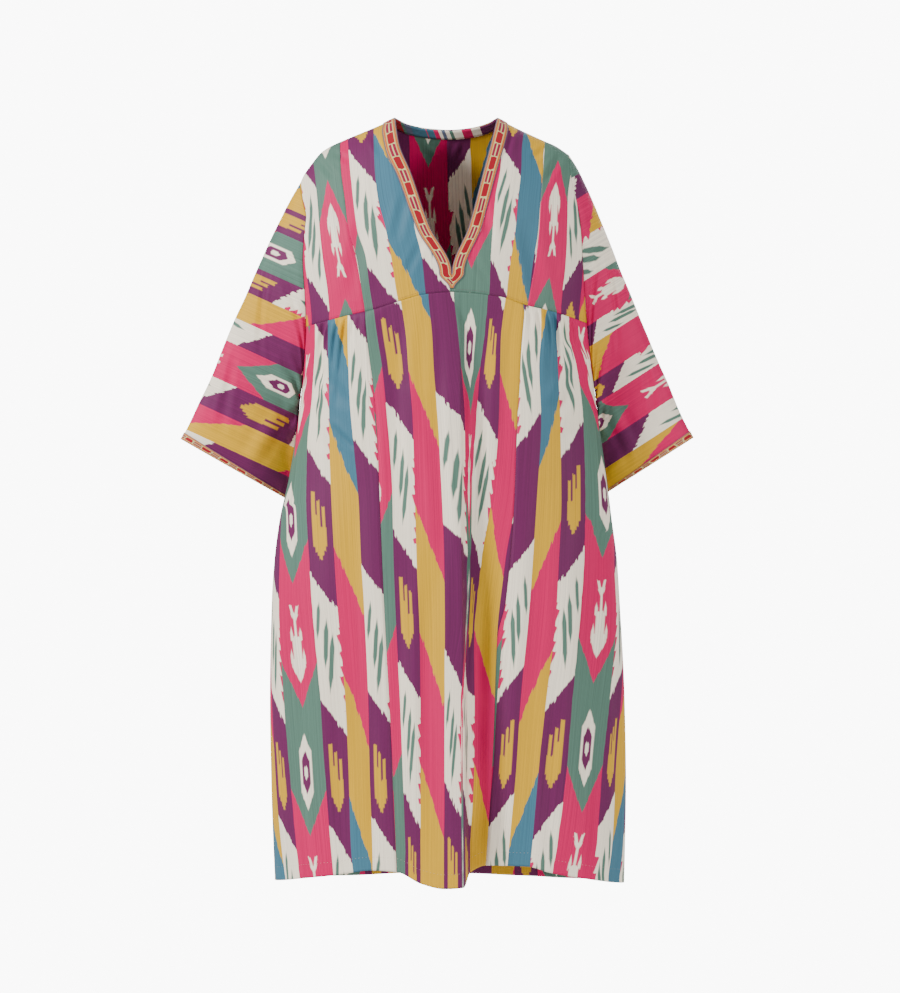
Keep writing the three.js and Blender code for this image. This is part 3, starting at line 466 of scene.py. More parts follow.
YOKE_LEFT_LINES = [
    (-34, -155, -115, -74), (-81, -151, -113, -65), (-127, -146, -108, -57),
    (-174, -140, -96, -51), (-220, -126, -87, -40), (-267, -120, -80, -35),
    (-298, -115, -74, -31),
]
YOKE_LEFT_JOIN = [
    (-34, -167), (-81, -165), (-127, -159), (-174, -153), (-220, -141), (-267, -133), (-298, -128),
]
YOKE_LEFT_OUTER = [
    (-50, -212), (-81, -207), (-127, -202), (-174, -198), (-220, -193), (-267, -186),
    (-298, -183),
]
YOKE_RIGHT_LINES = [
    (-19, 85, 118), (-50, 83, 114), (-81, 81, 113), (-127, 73, 108), (-174, 69, 104),
    (-220, 66, 97), (-267, 64, 91), (-294, 62, 89),
]
YOKE_RIGHT_JOIN = [
    (-19, 152), (-50, 149), (-81, 147), (-127, 143), (-174, 140), (-220, 135), (-267, 127),
    (-294, 122),
]
YOKE_RIGHT_OUTER = [
    (-50, 194), (-81, 191), (-127, 185), (-174, 184), (-220, 182), (-267, 177), (-294, 174),
]


def paired(line, other):
    """Rows of one line's z with the x of both lines."""
    return [(z, a, b) for (z, a), (_, b) in zip(line, other)]


# inner and outer loom width of each half of the yoke: its lines, the number at the first, the way
# that numbers grow, an eye's place along the warp, the way the warp runs, and whole repeats
YOKE_WIDTHS = {
    "left": (
        (YOKE_LEFT_LINES, 2, 1, 40, 1, 0),
        (paired(YOKE_LEFT_OUTER, YOKE_LEFT_JOIN), 2, -1, -383, -1, 1),
    ),
    "right": (
        (YOKE_RIGHT_LINES, 2, 1, 51, 1, 0),
        (paired(YOKE_RIGHT_JOIN[1:], YOKE_RIGHT_OUTER), 1, 1, -349, -1, 1),
    ),
}
BACK_JOIN_X = -1.5
BACK_SETTLE = 0.45  # share of the way down by which the columns of the back are evenly spread
# distance down the sleeve of each line, and the column that starts there
SLEEVE_LEFT_LINES = [
    (-36, 2), (0, 3), (40, 4), (79, 5), (144, 6), (184, 7), (228, 8), (265, 9), (325, 10),
    (372, 11), (417, 12), (455, 13), (515, 14),
]
SLEEVE_RIGHT_LINES = [
    (-31, 2), (34, 1), (65, 0), (121, -1), (178, -2), (240, -3), (267, -4), (316, -5),
    (347, -6), (404, -7), (439, -8), (473, -9), (530, -10),
]


# where each sleeve's pattern starts, and its ways down the sleeve and inward, as (x, z)
SLEEVE_AXES = {
    "left": ((-230.5, -104.5), (-0.42, -0.9076), (0.9076, -0.42)),
    "right": ((187, -57), (0.545, -0.839), (-0.839, -0.545)),
}
SLEEVE_PHASES = {"left": 222, "right": 150}  # inward place of an eye, in chart steps


def run_along(points, axis=0):
    """Distance along a line of points, or along each column (axis 0) or row (axis 1) of a grid."""
    steps = np.linalg.norm(np.diff(points, axis=axis), axis=-1)
    start = np.zeros_like(np.take(steps, [0], axis=axis))
    return np.concatenate([start, np.cumsum(steps, axis=axis)], axis=axis)


def usual_widths(number, way):
    return [WIDTHS[min(number + way * k, number + way * (k + 1)) % 4] for k in range(MORE)]


def column_numbers(points, lines, first, way):
    """Column number at each point: way is 1 or -1, first the number at the first line."""
    run = run_along(points, 1)
    between = [curve(lines, k + 1) for k in range(len(lines[0]) - 1)]
    last = first + way * (len(between) - 1)
    before, after = usual_widths(first, -way), usual_widths(last, way)
    numbers = first + way * np.arange(-MORE, len(between) + MORE)
    out = np.empty(run.shape)
    for i, (row, s) in enumerate(zip(points, run)):
        knots = []
        for line in between:
            off = row[:, 0] - line(row[:, 2])
            if off[0] > 0:
                knots.append(s[0] - off[0])
            elif off[-1] < 0:
                knots.append(s[-1] - off[-1])
            else:
                knots.append(np.interp(0, off, s))
        start = knots[0] - np.cumsum(before)[::-1]
        end = knots[-1] + np.cumsum(after)
        spots = np.concatenate([start, knots, end]) + np.arange(len(numbers)) * 1e-3
        spots = np.maximum.accumulate(spots)
        out[i] = np.interp(s, spots, numbers)
    return out


def run_down(points, level_z=-200):
    """Height down each column of a grid, by distance along the cloth from one level."""
    run = run_along(points)
    out = np.empty(run.shape)
    for j in range(run.shape[1]):
        z = -points[:, j, 2]
        start = np.interp(-level_z, z, run[:, j])
        out[:, j] = np.clip(-level_z, z[0], z[-1]) + run[:, j] - start
    return out


def warp_place(down, eye_z, way=1, whole=0):
    """Place along the warp in repeats, from the distance down and the height of an eye."""
    return way * (down + eye_z) / (STEP * REPEAT) + whole


# ---- Building the meshes -----------------------------------------------------------------------


def thin_wall(points, normal, outer, inner, pattern, wrapped=False):
    """A closed wall on a grid, with its dye and weave coordinates at every corner."""
    rows, width = points.shape[:2]
    count = width - 1 if wrapped else width
    layers = []
    for off in (outer, inner):
        off = np.broadcast_to(np.asarray(off, float), (rows, width))
        layers.append((points + normal * off[..., None])[:, :count])
    verts = np.concatenate([layer.reshape(-1, 3) for layer in layers])

    weave = np.stack([run_along(points, 1), run_along(points)], axis=-1)
    i, j = np.meshgrid(np.arange(rows - 1), np.arange(width - 1), indexing="ij")
    i, j = i.ravel(), j.ravel()
    quads = []

    def quad(*corners):
        quads.append(np.stack([np.stack(np.broadcast_arrays(*c), axis=-1) for c in corners], axis=1))

    quad((0, i, j), (0, i + 1, j), (0, i + 1, j + 1), (0, i, j + 1))
    quad((1, i, j), (1, i, j + 1), (1, i + 1, j + 1), (1, i + 1, j))
    k = np.arange(width - 1)
    last = rows - 1
    quad((0, 0, k), (0, 0, k + 1), (1, 0, k + 1), (1, 0, k))
    quad((0, last, k + 1), (0, last, k), (1, last, k), (1, last, k + 1))
    if not wrapped:
        k = np.arange(rows - 1)
        end = width - 1
        quad((0, k + 1, 0), (0, k, 0), (1, k, 0), (1, k + 1, 0))
        quad((0, k, end), (0, k + 1, end), (1, k + 1, end), (1, k, end))
    corners = np.concatenate(quads)
    layer, row, column = corners[..., 0], corners[..., 1], corners[..., 2]
    faces = (layer * rows + row) * count + column % count
    a, b, c = (verts[faces[:, n]] for n in (0, 1, 2))
    first = slice(len(i))
    outside = np.sum(np.cross(b - a, c - a)[first] * normal[row[first, 0], column[first, 0]])
    if outside < 0:
        faces, row, column = faces[:, ::-1], row[:, ::-1], column[:, ::-1]
    return verts, faces, pattern[row, column], weave[row, column]


def add_object(name, data):
    obj = bpy.data.objects.new(name, data)
    bpy.context.scene.collection.objects.link(obj)
    return obj


def piece(name, walls, material, node):
    """One mesh from its walls, riding on the part in place of a CAD node."""
    verts, faces, dyes, weaves, start = [], [], [], [], 0
    for wall_verts, wall_faces, dye, weave in walls:
        verts.append(wall_verts * MM)
        faces.append(wall_faces + start)
        dyes.append(dye)
        weaves.append(weave)
        start += len(wall_verts)
    mesh = bpy.data.meshes.new(name)
    mesh.from_pydata(np.concatenate(verts).tolist(), [], np.concatenate(faces).tolist())
    for layer, values in (("dye", dyes), ("weave", weaves)):
        data = mesh.uv_layers.new(name=layer).data
        data.foreach_set("uv", np.concatenate(values).astype(np.float32).ravel())
    mesh.shade_smooth()
    mesh.materials.append(material)
    obj = add_object(name, mesh)
    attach(obj, "root")
    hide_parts(node)
    return obj


def patch(left, right, top, bottom, u, v):
    """A grid between four edges, each giving (place, z)."""
    corner = {"tl": top(0.0), "tr": top(1.0), "bl": bottom(0.0), "br": bottom(1.0)}
    edges = left(v), right(v), top(u), bottom(u)
    out = []
    for k in (0, 1):
        ruled = lerp(edges[0][k], edges[1][k], u) + lerp(edges[2][k], edges[3][k], v)
        upper = lerp(corner["tl"][k], corner["tr"][k], u)
        lower = lerp(corner["bl"][k], corner["br"][k], u)
        out.append(ruled - lerp(upper, lower, v))
    return out


def spread(*parts):
    """Places along a line: (start, end, count) for each part, sharing their ends."""
    runs = [np.linspace(start, end, count + 1) for start, end, count in parts]
    return np.concatenate([runs[0], *(run[1:] for run in runs[1:])])


# ---- Yoke --------------------------------------------------------------------------------------

YOKES = {
    "left": (-1, SHOULDER_LEFT, V_LEFT, edge_left), "right": (1, SHOULDER_RIGHT, V_RIGHT, edge_right),
}


def yoke_surface(half):
    side, shoulder, v_edge, edge = YOKES[half]
    inset = side * SEAM / 2
    seam_z = float(yoke_seam(V_POINT[0]))
    neck = along([*v_edge, (V_POINT[0], BRAID_TIP_Z), (V_POINT[0], seam_z)])
    shoulder_line = along(shoulder)
    top_z = shoulder[-1][1]
    end_z = YOKE_SEAM[0 if side < 0 else -1][1]
    v_run = sum(math.dist(a, b) for a, b in zip(v_edge, v_edge[1:]))
    total = v_run + V_POINT[1] - seam_z
    v_point = v_run / total
    tip = (v_run + V_POINT[1] - BRAID_TIP_Z) / total

    def left(v):
        x, z = neck(v)
        return x + inset * smoothstep(v, 0, v_point), z

    def right(v):
        z = lerp(top_z, end_z, v)
        return edge(z), z

    def bottom(u):
        x = lerp(V_POINT[0] + inset, edge(end_z), u)
        return x, yoke_seam(x)

    def surface(u, v):
        return patch(left, right, shoulder_line, bottom, u, v)

    def braid_share(v):
        narrowing = lerp(1, BRAID_TIP_SHARE, smoothstep(v, v_point, tip))
        width = np.abs(surface(np.ones_like(v), v)[0] - surface(np.zeros_like(v), v)[0])
        return narrowing * BRAID_WIDTH * lerp(0.9, 1.07, smoothstep(v, 0, 0.05)) / width

    return surface, braid_share, v_point, tip


def yoke_grid(half, shares, v):
    """A grid of the yoke: shares holds, for each row, its places from the neck to the armhole."""
    surface, *_ = yoke_surface(half)
    x, z = surface(shares, v[:, None])
    place = place_at(FRONT, x, z)
    return cloth_grid(FRONT, place, z, ridge_row=True)


def yoke_walls(half):
    """Both loom widths of half the yoke, sewn along its join."""
    surface, *_ = yoke_surface(half)
    side = YOKES[half][0]
    join = curve(YOKE_LEFT_JOIN if side < 0 else YOKE_RIGHT_JOIN)
    v = np.concatenate([[0], np.linspace(0.0, 1, 90)[1:] ** 1.15])
    fine = np.linspace(0, 1, 400)
    joins = []
    for row in v:
        x, z = surface(fine, row)
        off = (x - join(z)) * side
        joins.append(np.interp(0, off, fine))
    joins = np.array(joins)[:, None]
    inner = joins * np.linspace(0, 1, 46)
    outer = lerp(joins, 1, np.linspace(0, 1, 26))
    walls = []
    for shares, (lines, first, way, eye, turn, whole) in zip((inner, outer), YOKE_WIDTHS[half]):
        points, normal = yoke_grid(half, shares, v)
        order = slice(None, None, side)
        number = column_numbers(points[:, order], lines, first, way)[:, order]
        dye = np.stack([number, warp_place(run_down(points), eye, turn, whole)], axis=-1)
        walls.append(thin_wall(points, normal, 0, -CLOTH, dye))
    return walls


def neck_braid_wall(half):
    _, braid_share, v_point, tip = yoke_surface(half)
    v = np.linspace(0, tip, 150)
    shares = braid_share(v)[:, None] * np.linspace(0, 1, 9)
    points, normal = yoke_grid(half, shares, v)
    narrowing = lerp(1, BRAID_TIP_SHARE, smoothstep(v, v_point, tip))
    return braid_wall(points, normal, narrowing=narrowing)


def braid_wall(points, normal, narrowing=None):
    """Braid laid on a grid whose columns run across it, a little thinner at its edges."""
    rows, width = points.shape[:2]
    across = np.linspace(0, 1, width)
    run = run_along(points[:, width // 2])
    kept = np.ones(rows) if narrowing is None else narrowing
    share = 1 - (1 - across)[None, :] * kept[:, None]
    dye = np.stack([np.broadcast_to(run[:, None], share.shape), share], axis=-1)
    thick = BRAID_WALL * (0.62 + 0.38 * np.sin(np.pi * across) ** 0.4)
    return thin_wall(points, normal, BRAID_LIFT + thick, BRAID_LIFT, dye)


# ---- Skirt front -------------------------------------------------------------------------------


def skirt_top(x):
    return yoke_seam(x) - SEAM


def guide(x_of):
    top = skirt_top(x_of(skirt_top(x_of(yoke_seam(0)))))
    bottom = front_hem(x_of(front_hem(x_of(HEM_Z))))

    def line(v):
        z = lerp(top, bottom, v)
        return place_at(FRONT, x_of(z), z), z

    return line


def side_height(v, share, start, end):
    """Height down a side edge: from its start to the underarm at a share of the way, then on."""
    above = lerp(start, UNDERARM_Z, v / share)
    below = lerp(UNDERARM_Z, end, (v - share) / (1 - share))
    return np.where(v < share, above, below)


def side_guide(side):
    end = 0 if side < 0 else -1
    top = YOKE_SEAM[end][1] - SEAM
    bottom = FRONT_HEM[end][1]

    def line(v):
        return side + 0 * v, side_height(v, SKIRT_UNDERARM_SHARE, top, bottom)

    return line


def panel(left, right, u, v):
    """A grid of the front skirt between two guide lines."""

    def edge_row(at, x_line):
        def line(share):
            (start, z0), (end, z1) = left(at), right(at)
            place = lerp(start, end, share)
            z = lerp(z0, z1, share)
            for _ in range(4):
                z = x_line(x_at(FRONT, place, z))
            z = np.where(share <= 0, z0, np.where(share >= 1, z1, z))
            return place, z
        return line

    place, z = patch(
        left, right, edge_row(0.0, skirt_top), edge_row(1.0, front_hem), u[None, :], v[:, None]
    )
    return place, z


def hem_inner(points, v, length):
    """How far the inside lies behind the outside: more where the hem is turned up."""
    hem = 1 - HEM_TURN / length
    thick = CLOTH + HEM_EXTRA * smoothstep(v, hem - HEM_FOLD / length, hem)
    return -np.broadcast_to(thick[:, None], points.shape[:2])


def hem_row(v, length):
    """The row along the top of the turned-up hem, where its stitches lie."""
    return int(np.argmin(np.abs(v - (1 - (HEM_TURN - 1) / length))))


def skirt_rows(length, count):
    hem = 1 - HEM_TURN / length
    top, fold = GATHER_ROWS / length, hem - HEM_FOLD / length
    return spread((0, top, 16), (top, fold, count), (fold, hem, 1), (hem, 1, 6))


half_seam = SEAM / 2
GUIDES = {
    "left_side": side_guide(-1),
    "left_outer": guide(lambda z: seam_left(z) - half_seam),
    "left_inner": guide(lambda z: seam_left(z) + half_seam),
    "fold_front": guide(lambda z: fold_x(z) - fold_width(z) / 2),
    "fold_rear": guide(lambda z: fold_x(z) + fold_width(z) / 2),
    "right_inner": guide(lambda z: seam_right(z) - half_seam),
    "right_outer": guide(lambda z: seam_right(z) + half_seam),
    "right_side": side_guide(1),
}


def skirt_wall(parts, lines, first, way, eye_z, repeat, whole):
    v = skirt_rows(FRONT_RUN, 215)
    grids = [panel(GUIDES[a], GUIDES[b], np.linspace(0, 1, n + 1), v) for a, b, n in parts]
    place = np.concatenate([grids[0][0], *(g[0][:, 1:] for g in grids[1:])], axis=1)
    z = np.concatenate([grids[0][1], *(g[1][:, 1:] for g in grids[1:])], axis=1)
    points, normal = cloth_grid(FRONT, place, z)
    number = column_numbers(points, lines, first, way)
    along_warp = (-points[..., 2] + eye_z) / (STEP * repeat) + whole
    dye = np.stack([number, along_warp], axis=-1)
    return thin_wall(points, normal, 0, hem_inner(points, v, FRONT_RUN), dye), points, normal, v


# ---- Back --------------------------------------------------------------------------------------

BACK_TOP_X = [
    -230, -222, -208, -188, -162, -130, -98, -82, -62, -40, -18, 3, 24, 42, 60, 76, 92, 116, 142,
    166, 187,
]


def back_top(x):
    outside = (x < NECK_LEFT) | (x > NECK_RIGHT)
    return np.where(outside, ridge(x), back_neck(x))


def back_grid(j, v):
    """Grid of the back at fractional columns j and shares v of the way down."""
    last = len(BACK_TOP_X) - 1
    j, v = j[None, :], v[:, None]
    u = j / last
    top_x = np.interp(j, np.arange(last + 1), BACK_TOP_X)
    top_z = back_top(top_x)
    top_place = place_at(BACK, top_x, top_z)
    place = lerp(-1, 1, u)
    hem_z = back_hem(x_at(BACK, place, HEM_Z + 0 * place))
    tops = SHOULDER_LEFT[-1][1], SHOULDER_RIGHT[-1][1]
    ends = [
        side_height(v, BACK_UNDERARM_SHARE, start, BACK_HEM[end][1])
        for end, start in zip((0, -1), tops)
    ]
    hems = (float(back_hem(x_at(BACK, np.float64(side), HEM_Z))) for side in (-1, 1))
    corners = lerp(lerp(*tops, u), lerp(*hems, u), v)
    z = lerp(*ends, u) + lerp(top_z, hem_z, v) - corners
    settle = smoothstep(v, BRAID_WIDTH / BACK_RUN, BACK_SETTLE)
    return cloth_grid(BACK, lerp(top_place, place, settle), z, ridge_row=True)


# ---- Sleeves -----------------------------------------------------------------------------------


def sleeve_grid(half, w, angle):
    """Points and normals of a sleeve: angle 0 is its outer edge and grows to the front."""
    sleeve = SLEEVES[half]
    side, (top_x, top_z) = sleeve["side"], sleeve["top"]
    outer_x, outer_z = curve(sleeve["outer"], 1), curve(sleeve["outer"], 2)

    def tube(w, angle):
        inner_z = lerp(UNDERARM_Z, sleeve["cuff_inner_z"], w)
        inner_y = CUFF_BACK_INNER * smoothstep(w, 0, CUFF_BACK_BY)
        reach, depth, sweep = section(BACK, np.float64(side), inner_z)
        cosine = clamp(inner_y / depth) ** (1 / ROUNDNESS)
        inner_x = side * (reach * np.sqrt(1 - cosine**2) / np.sin(sweep) + sleeve_room(w))
        share = (1 - np.cos(angle)) / 2
        x = lerp(outer_x(w), inner_x, share)
        y = lerp(CUFF_BACK_OUTER * w, inner_y, share) - sleeve_half(w) * np.sin(angle)
        return np.stack([x, y, lerp(outer_z(w), inner_z, share)], axis=-1)

    def armhole(angle):
        z = lerp(top_z, UNDERARM_Z, (1 - np.cos(angle)) / 2)
        x = x_at(FRONT, np.float64(side), z) + side * ARMHOLE_OFF
        stand = np.where(np.abs(np.sin(angle)) < 1e-6, 0, rim(z) * roll_off(x, z))
        return np.stack([x, -np.sign(np.sin(angle)) * stand, z], axis=-1)

    w, angle = w[:, None], angle[None, :]
    held = 1 - smoothstep(w, 0, ARMHOLE_BLEND)
    points = tube(w, angle) + (armhole(angle) - tube(0 * w, angle)) * held[..., None]
    normal = normals(points, side)
    fold = creases(
        [
            (a * SLEEVE_RUN, b * SLEEVE_TURN, c * SLEEVE_RUN, d * SLEEVE_TURN, width, depth)
            for a, b, c, d, width, depth in SLEEVE_CREASES
        ],
        w * SLEEVE_RUN + 0 * angle, angle * SLEEVE_TURN + 0 * w,
    )
    fold += calm_cloth(w * SLEEVE_RUN + 9 * side, angle * 80)
    calm = smoothstep(w, 0, 0.05) * (1 - smoothstep(np.abs(angle), 2.5, 3.0))
    points = points + normal * (fold * calm)[..., None]
    return points, normals(points, side)


def sleeve_places(half, points, angle):
    """Distance down the sleeve and inward from its outer edge, in millimetres."""
    start, down, inward = SLEEVE_AXES[half]
    x, z = points[..., 0] - start[0], points[..., 2] - start[1]
    s = x * down[0] + z * down[1]
    t = x * inward[0] + z * inward[1]
    run = run_along(points, 1)
    front = np.argmin(np.abs(angle - math.pi / 2))
    return s, t[:, front, None] + run - run[:, front, None]


# ---- Shaders: numbers as formulas ---------------------------------------------------------------


class Number:
    """A value in a node tree, so that a pattern reads as sums and products."""

    def __init__(self, tree, socket):
        self.tree, self.socket = tree, socket

    def op(self, operation, *others):
        node = self.tree.nodes.new("ShaderNodeMath")
        node.operation = operation
        for slot, value in zip(node.inputs, (self, *others)):
            if isinstance(value, Number):
                self.tree.links.new(value.socket, slot)
            else:
                slot.default_value = value
        return Number(self.tree, node.outputs[0])

    __add__ = partialmethod(op, "ADD")
    __sub__ = partialmethod(op, "SUBTRACT")
    __mul__ = partialmethod(op, "MULTIPLY")
    __truediv__ = partialmethod(op, "DIVIDE")
    __neg__ = partialmethod(op, "MULTIPLY", -1.0)
    __abs__ = partialmethod(op, "ABSOLUTE")
    floor = partialmethod(op, "FLOOR")
    wrap = partialmethod(op, "FLOORED_MODULO")
    least = partialmethod(op, "MINIMUM")
    most = partialmethod(op, "MAXIMUM")

    def within(self, low, high):
        """How far inside a range, and below zero outside it."""
        return (self - low).least(-self + high)

    def near(self, other):
        return self.op("COMPARE", other, 0.25)

    def over(self, soft=1.0):
        """1 well above zero and 0 well below it, with a feathered edge."""
        node = self.tree.nodes.new("ShaderNodeMath")
        node.operation = "MULTIPLY_ADD"
        node.use_clamp = True
        self.tree.links.new(self.socket, node.inputs[0])
        node.inputs[1].default_value = 1 / soft
        node.inputs[2].default_value = 0.5
        return Number(self.tree, node.outputs[0])


def linear(red, green, blue):
    """A colour from its usual 0 to 255 values."""
    parts = [((c / 255 + 0.055) / 1.055) ** 2.4 if c > 10 else c / 3295 for c in (red, green, blue)]
    return [*parts, 1]


def mixed(tree, factor, under, over):
    """under where factor is 0 and over where it is 1; each is a colour or a socket."""
    node = tree.nodes.new("ShaderNodeMix")
    node.data_type = "RGBA"
    tree.links.new(factor.socket, node.inputs[0])
    for slot, value in ((node.inputs[6], under), (node.inputs[7], over)):
        if isinstance(value, list):
            slot.default_value = value
        else:
            tree.links.new(value, slot)
    return node.outputs[2]


def noise(tree, x, y, scale=1.0, detail=0.0):
    """Smooth noise, about 0 to 1."""
    join = tree.nodes.new("ShaderNodeCombineXYZ")
    tree.links.new(x.socket, join.inputs[0])
    tree.links.new(y.socket, join.inputs[1])
    node = tree.nodes.new("ShaderNodeTexNoise")
    node.noise_dimensions = "2D"
    node.inputs["Scale"].default_value = scale
    node.inputs["Detail"].default_value = detail
    tree.links.new(join.outputs[0], node.inputs["Vector"])
    return Number(tree, node.outputs[0])


def speckle(tree, x):
    """A different value from 0 to 1 for each whole number."""
    node = tree.nodes.new("ShaderNodeTexWhiteNoise")
    node.noise_dimensions = "1D"
    tree.links.new(x.socket, node.inputs["W"])
    return Number(tree, node.outputs[0])


def read_uv(tree, name):
    node = tree.nodes.new("ShaderNodeUVMap")
    node.uv_map = name
    split = tree.nodes.new("ShaderNodeSeparateXYZ")
    tree.links.new(node.outputs[0], split.inputs[0])
    return Number(tree, split.outputs[0]), Number(tree, split.outputs[1])


PINK = linear(200, 0, 84)
PLUM = linear(98, 26, 76)
YELLOW = linear(204, 156, 26)
CREAM = linear(244, 232, 210)
GREEN = linear(80, 112, 98)
BLUE = linear(60, 106, 126)
CRIMSON = linear(150, 4, 26)
SLATE = linear(88, 96, 118)

EYE_HALF, EYE_WIDE = 38, 7
RING_HALF, RING_WIDE = 21.5, 4.6
DOT_HALF, DOT_WIDE = 7, 2
JAG = 4.0  # how far a bundle of threads may slip, in chart steps
BUNDLE = 1.5  # its width
THREADS = 4.0  # threads to a chart step
NARROW, BROAD = 24.0, 38.0  # width of a column in chart steps, B the broad one
BEFORE_EYE = 60.0  # length of each repeat that comes before its eye
# left, right, start and end of each block of the comb
COMB = [
    (5, 8.6, -28, 0), (10.2, 12.8, -20, 10), (14.8, 17.4, -14, 12), (5, 12.8, -6, 26),
    (5.4, 18, 7, 26), (7, 16.8, 25, 31), (9, 15, 30, 35), (10.6, 13.4, 34, 39),
]
# start and end (across, along) and half width of each slash on the cream
SLASHES = [(7.4, 80, 2.5, 118, 1.7), (13, 98, 7.6, 147, 2.1), (17.5, 112, 10, 171, 2.2)]
# start, end, and distance from the middle of the arrow's barbs, or half width of its shafts
BARBS = [(107, 120, 4.4), (130, 143, 6.2)]
SHAFTS = [(99, 119, 1.1), (116, 138, 4.2)]


def ikat_group():
    """The dyed pattern, from the column number and the place along the warp in repeats."""
    tree = bpy.data.node_groups.new("ikat", "ShaderNodeTree")
    for name in ("column", "along", "join at", "join shift"):
        tree.interface.new_socket(name=name, in_out="INPUT", socket_type="NodeSocketFloat")
    tree.interface.new_socket(name="colour", in_out="OUTPUT", socket_type="NodeSocketColor")
    given = tree.nodes.new("NodeGroupInput")
    across, length, join_at, join_shift = (Number(tree, given.outputs[k]) for k in range(4))

    past = (across - join_at).op("GREATER_THAN", 0.0)
    straight = (length + past * join_shift) * REPEAT
    column = across.floor()
    u = across - column
    kind = column.wrap(4.0)
    is_a, is_b, is_d = kind.near(0.0), kind.near(1.0), kind.near(3.0)
    wide = is_b * (BROAD - NARROW) + NARROW
    p = u * wide
    bundle = (p / BUNDLE).floor()
    slip = noise(tree, bundle * 7.31 + column * 3.7, straight * 0.013) - 0.5
    thread = speckle(tree, (p * THREADS).floor() + column * 57.0) - 0.5
    v = straight + slip * (2.4 * JAG) + thread * 1.6

    def lozenge(away, height, half, width):
        taper = (abs(height) / -half + 1.0) * (2.2 * width)
        return (taper.least(width) - away).over()

    # A and C: plum and cream in turn, with a comb in the plum and slashes on the cream
    tilt = is_a * -3.0 + 37.0
    turn = is_a * -8.0 + 52.0
    cream_at = (v - turn - u * tilt).wrap(REPEAT)
    on_cream = (cream_at.least(-cream_at + 125.0)).over(1.6)
    near_eye = (straight + slip * (1.1 * JAG) + thread + BEFORE_EYE).wrap(REPEAT) - BEFORE_EYE
    narrow = mixed(tree, on_cream, PLUM, CREAM)
    comb = None
    for left, right, top, bottom in COMB:
        block = p.within(left, right).least(near_eye.within(top, bottom))
        comb = block if comb is None else comb.most(block)
    period = ((v + BEFORE_EYE) / REPEAT).floor()
    has_comb = (is_a * -1.0 + 1.0).most(period.wrap(3.0).near(2.0))
    narrow = mixed(tree, comb.over() * has_comb, narrow, YELLOW)
    slashes = None
    for p0, v0, p1, v1, half in SLASHES:
        t = (near_eye - v0) / (v1 - v0)
        middle = t * (p1 - p0) + p0
        taper = (t * 4.0).least((t * -1.0 + 1.0) * 4.0).least(1.0) * half
        slash = taper - abs(p - middle)
        slashes = slash if slashes is None else slashes.most(slash)
    narrow = mixed(tree, slashes.over(), narrow, GREEN)
    uneven = noise(tree, straight * 0.045, column * 5.3 + 0.5)
    saw = (near_eye / 14.0 + uneven * 1.5).wrap(1.0) * -4.0 + uneven * 7.0 - 0.6
    notch = (saw - (wide - p)).least(near_eye.within(108.0, 192.0))
    narrow = mixed(tree, notch.over(), narrow, PINK)

    # D: yellow, and pink or blue in turn
    other = v - 24.0 - u * 73.0
    other_at = other.wrap(REPEAT)
    on_other = (other_at.least(-other_at + 128.0)).over(1.6)
    round_five = (other / REPEAT).floor().wrap(5.0)
    is_blue = round_five.near(0.0).most(round_five.near(2.0))
    slanted = mixed(tree, on_other, YELLOW, mixed(tree, is_blue, PINK, BLUE))

    # B: an eye on green, and an arrow on pink
    away = abs(p - BROAD / 2)
    side = away / (BROAD / 2)
    centre = side * -1.0 + 1.0
    low = centre * 46.0 + 18.0
    high = centre * 47.0 + 140.0
    on_pink = ((near_eye - low).least(high - near_eye)).over(1.6)
    broad = mixed(tree, on_pink, GREEN, PINK)
    broad = mixed(tree, lozenge(away, near_eye, EYE_HALF, EYE_WIDE), broad, CREAM)
    broad = mixed(tree, lozenge(away, near_eye, RING_HALF, RING_WIDE), broad, PLUM)
    broad = mixed(tree, lozenge(away, near_eye, DOT_HALF, DOT_WIDE), broad, CREAM)
    spread_tail = (near_eye * -1.0 + 101.0) * 0.24
    arrow = near_eye.within(85.0, 98.0).least(abs(away - spread_tail) * -1.0 + 1.3)
    arrow = arrow.most((near_eye - 93.0).least((near_eye * -1.0 + 103.0) * 0.4 - away))
    for top, bottom, at in BARBS:
        barb = ((near_eye - top) * 0.24).least(1.3) - abs(away - at)
        arrow = arrow.most(barb.least(-near_eye + bottom))
    for top, bottom, half in SHAFTS:
        bar = near_eye.within(top, bottom).least(away * -1.0 + half)
        arrow = arrow.most(bar)
    head = ((near_eye - 135.0) * 1.6).least((near_eye * -1.0 + 163.0) * 0.42).least(7.0) - away
    broad = mixed(tree, arrow.most(head).over(), broad, CREAM)

    colour = mixed(tree, is_d, narrow, slanted)
    colour = mixed(tree, is_b, colour, broad)

    # warp threads that took the dye unevenly
    streak = noise(tree, across * 55.0, length * 1.6, 1.0, 2.0)
    thread_tone = speckle(tree, (p * THREADS).floor() + column * 91.0)
    tone = streak * 0.62 + thread_tone * 0.16 + 0.62
    shade = tree.nodes.new("ShaderNodeVectorMath")
    shade.operation = "SCALE"
    tree.links.new(colour, shade.inputs[0])
    tree.links.new(tone.socket, shade.inputs["Scale"])
    result = tree.nodes.new("NodeGroupOutput")
    tree.links.new(shade.outputs[0], result.inputs[0])
    return tree


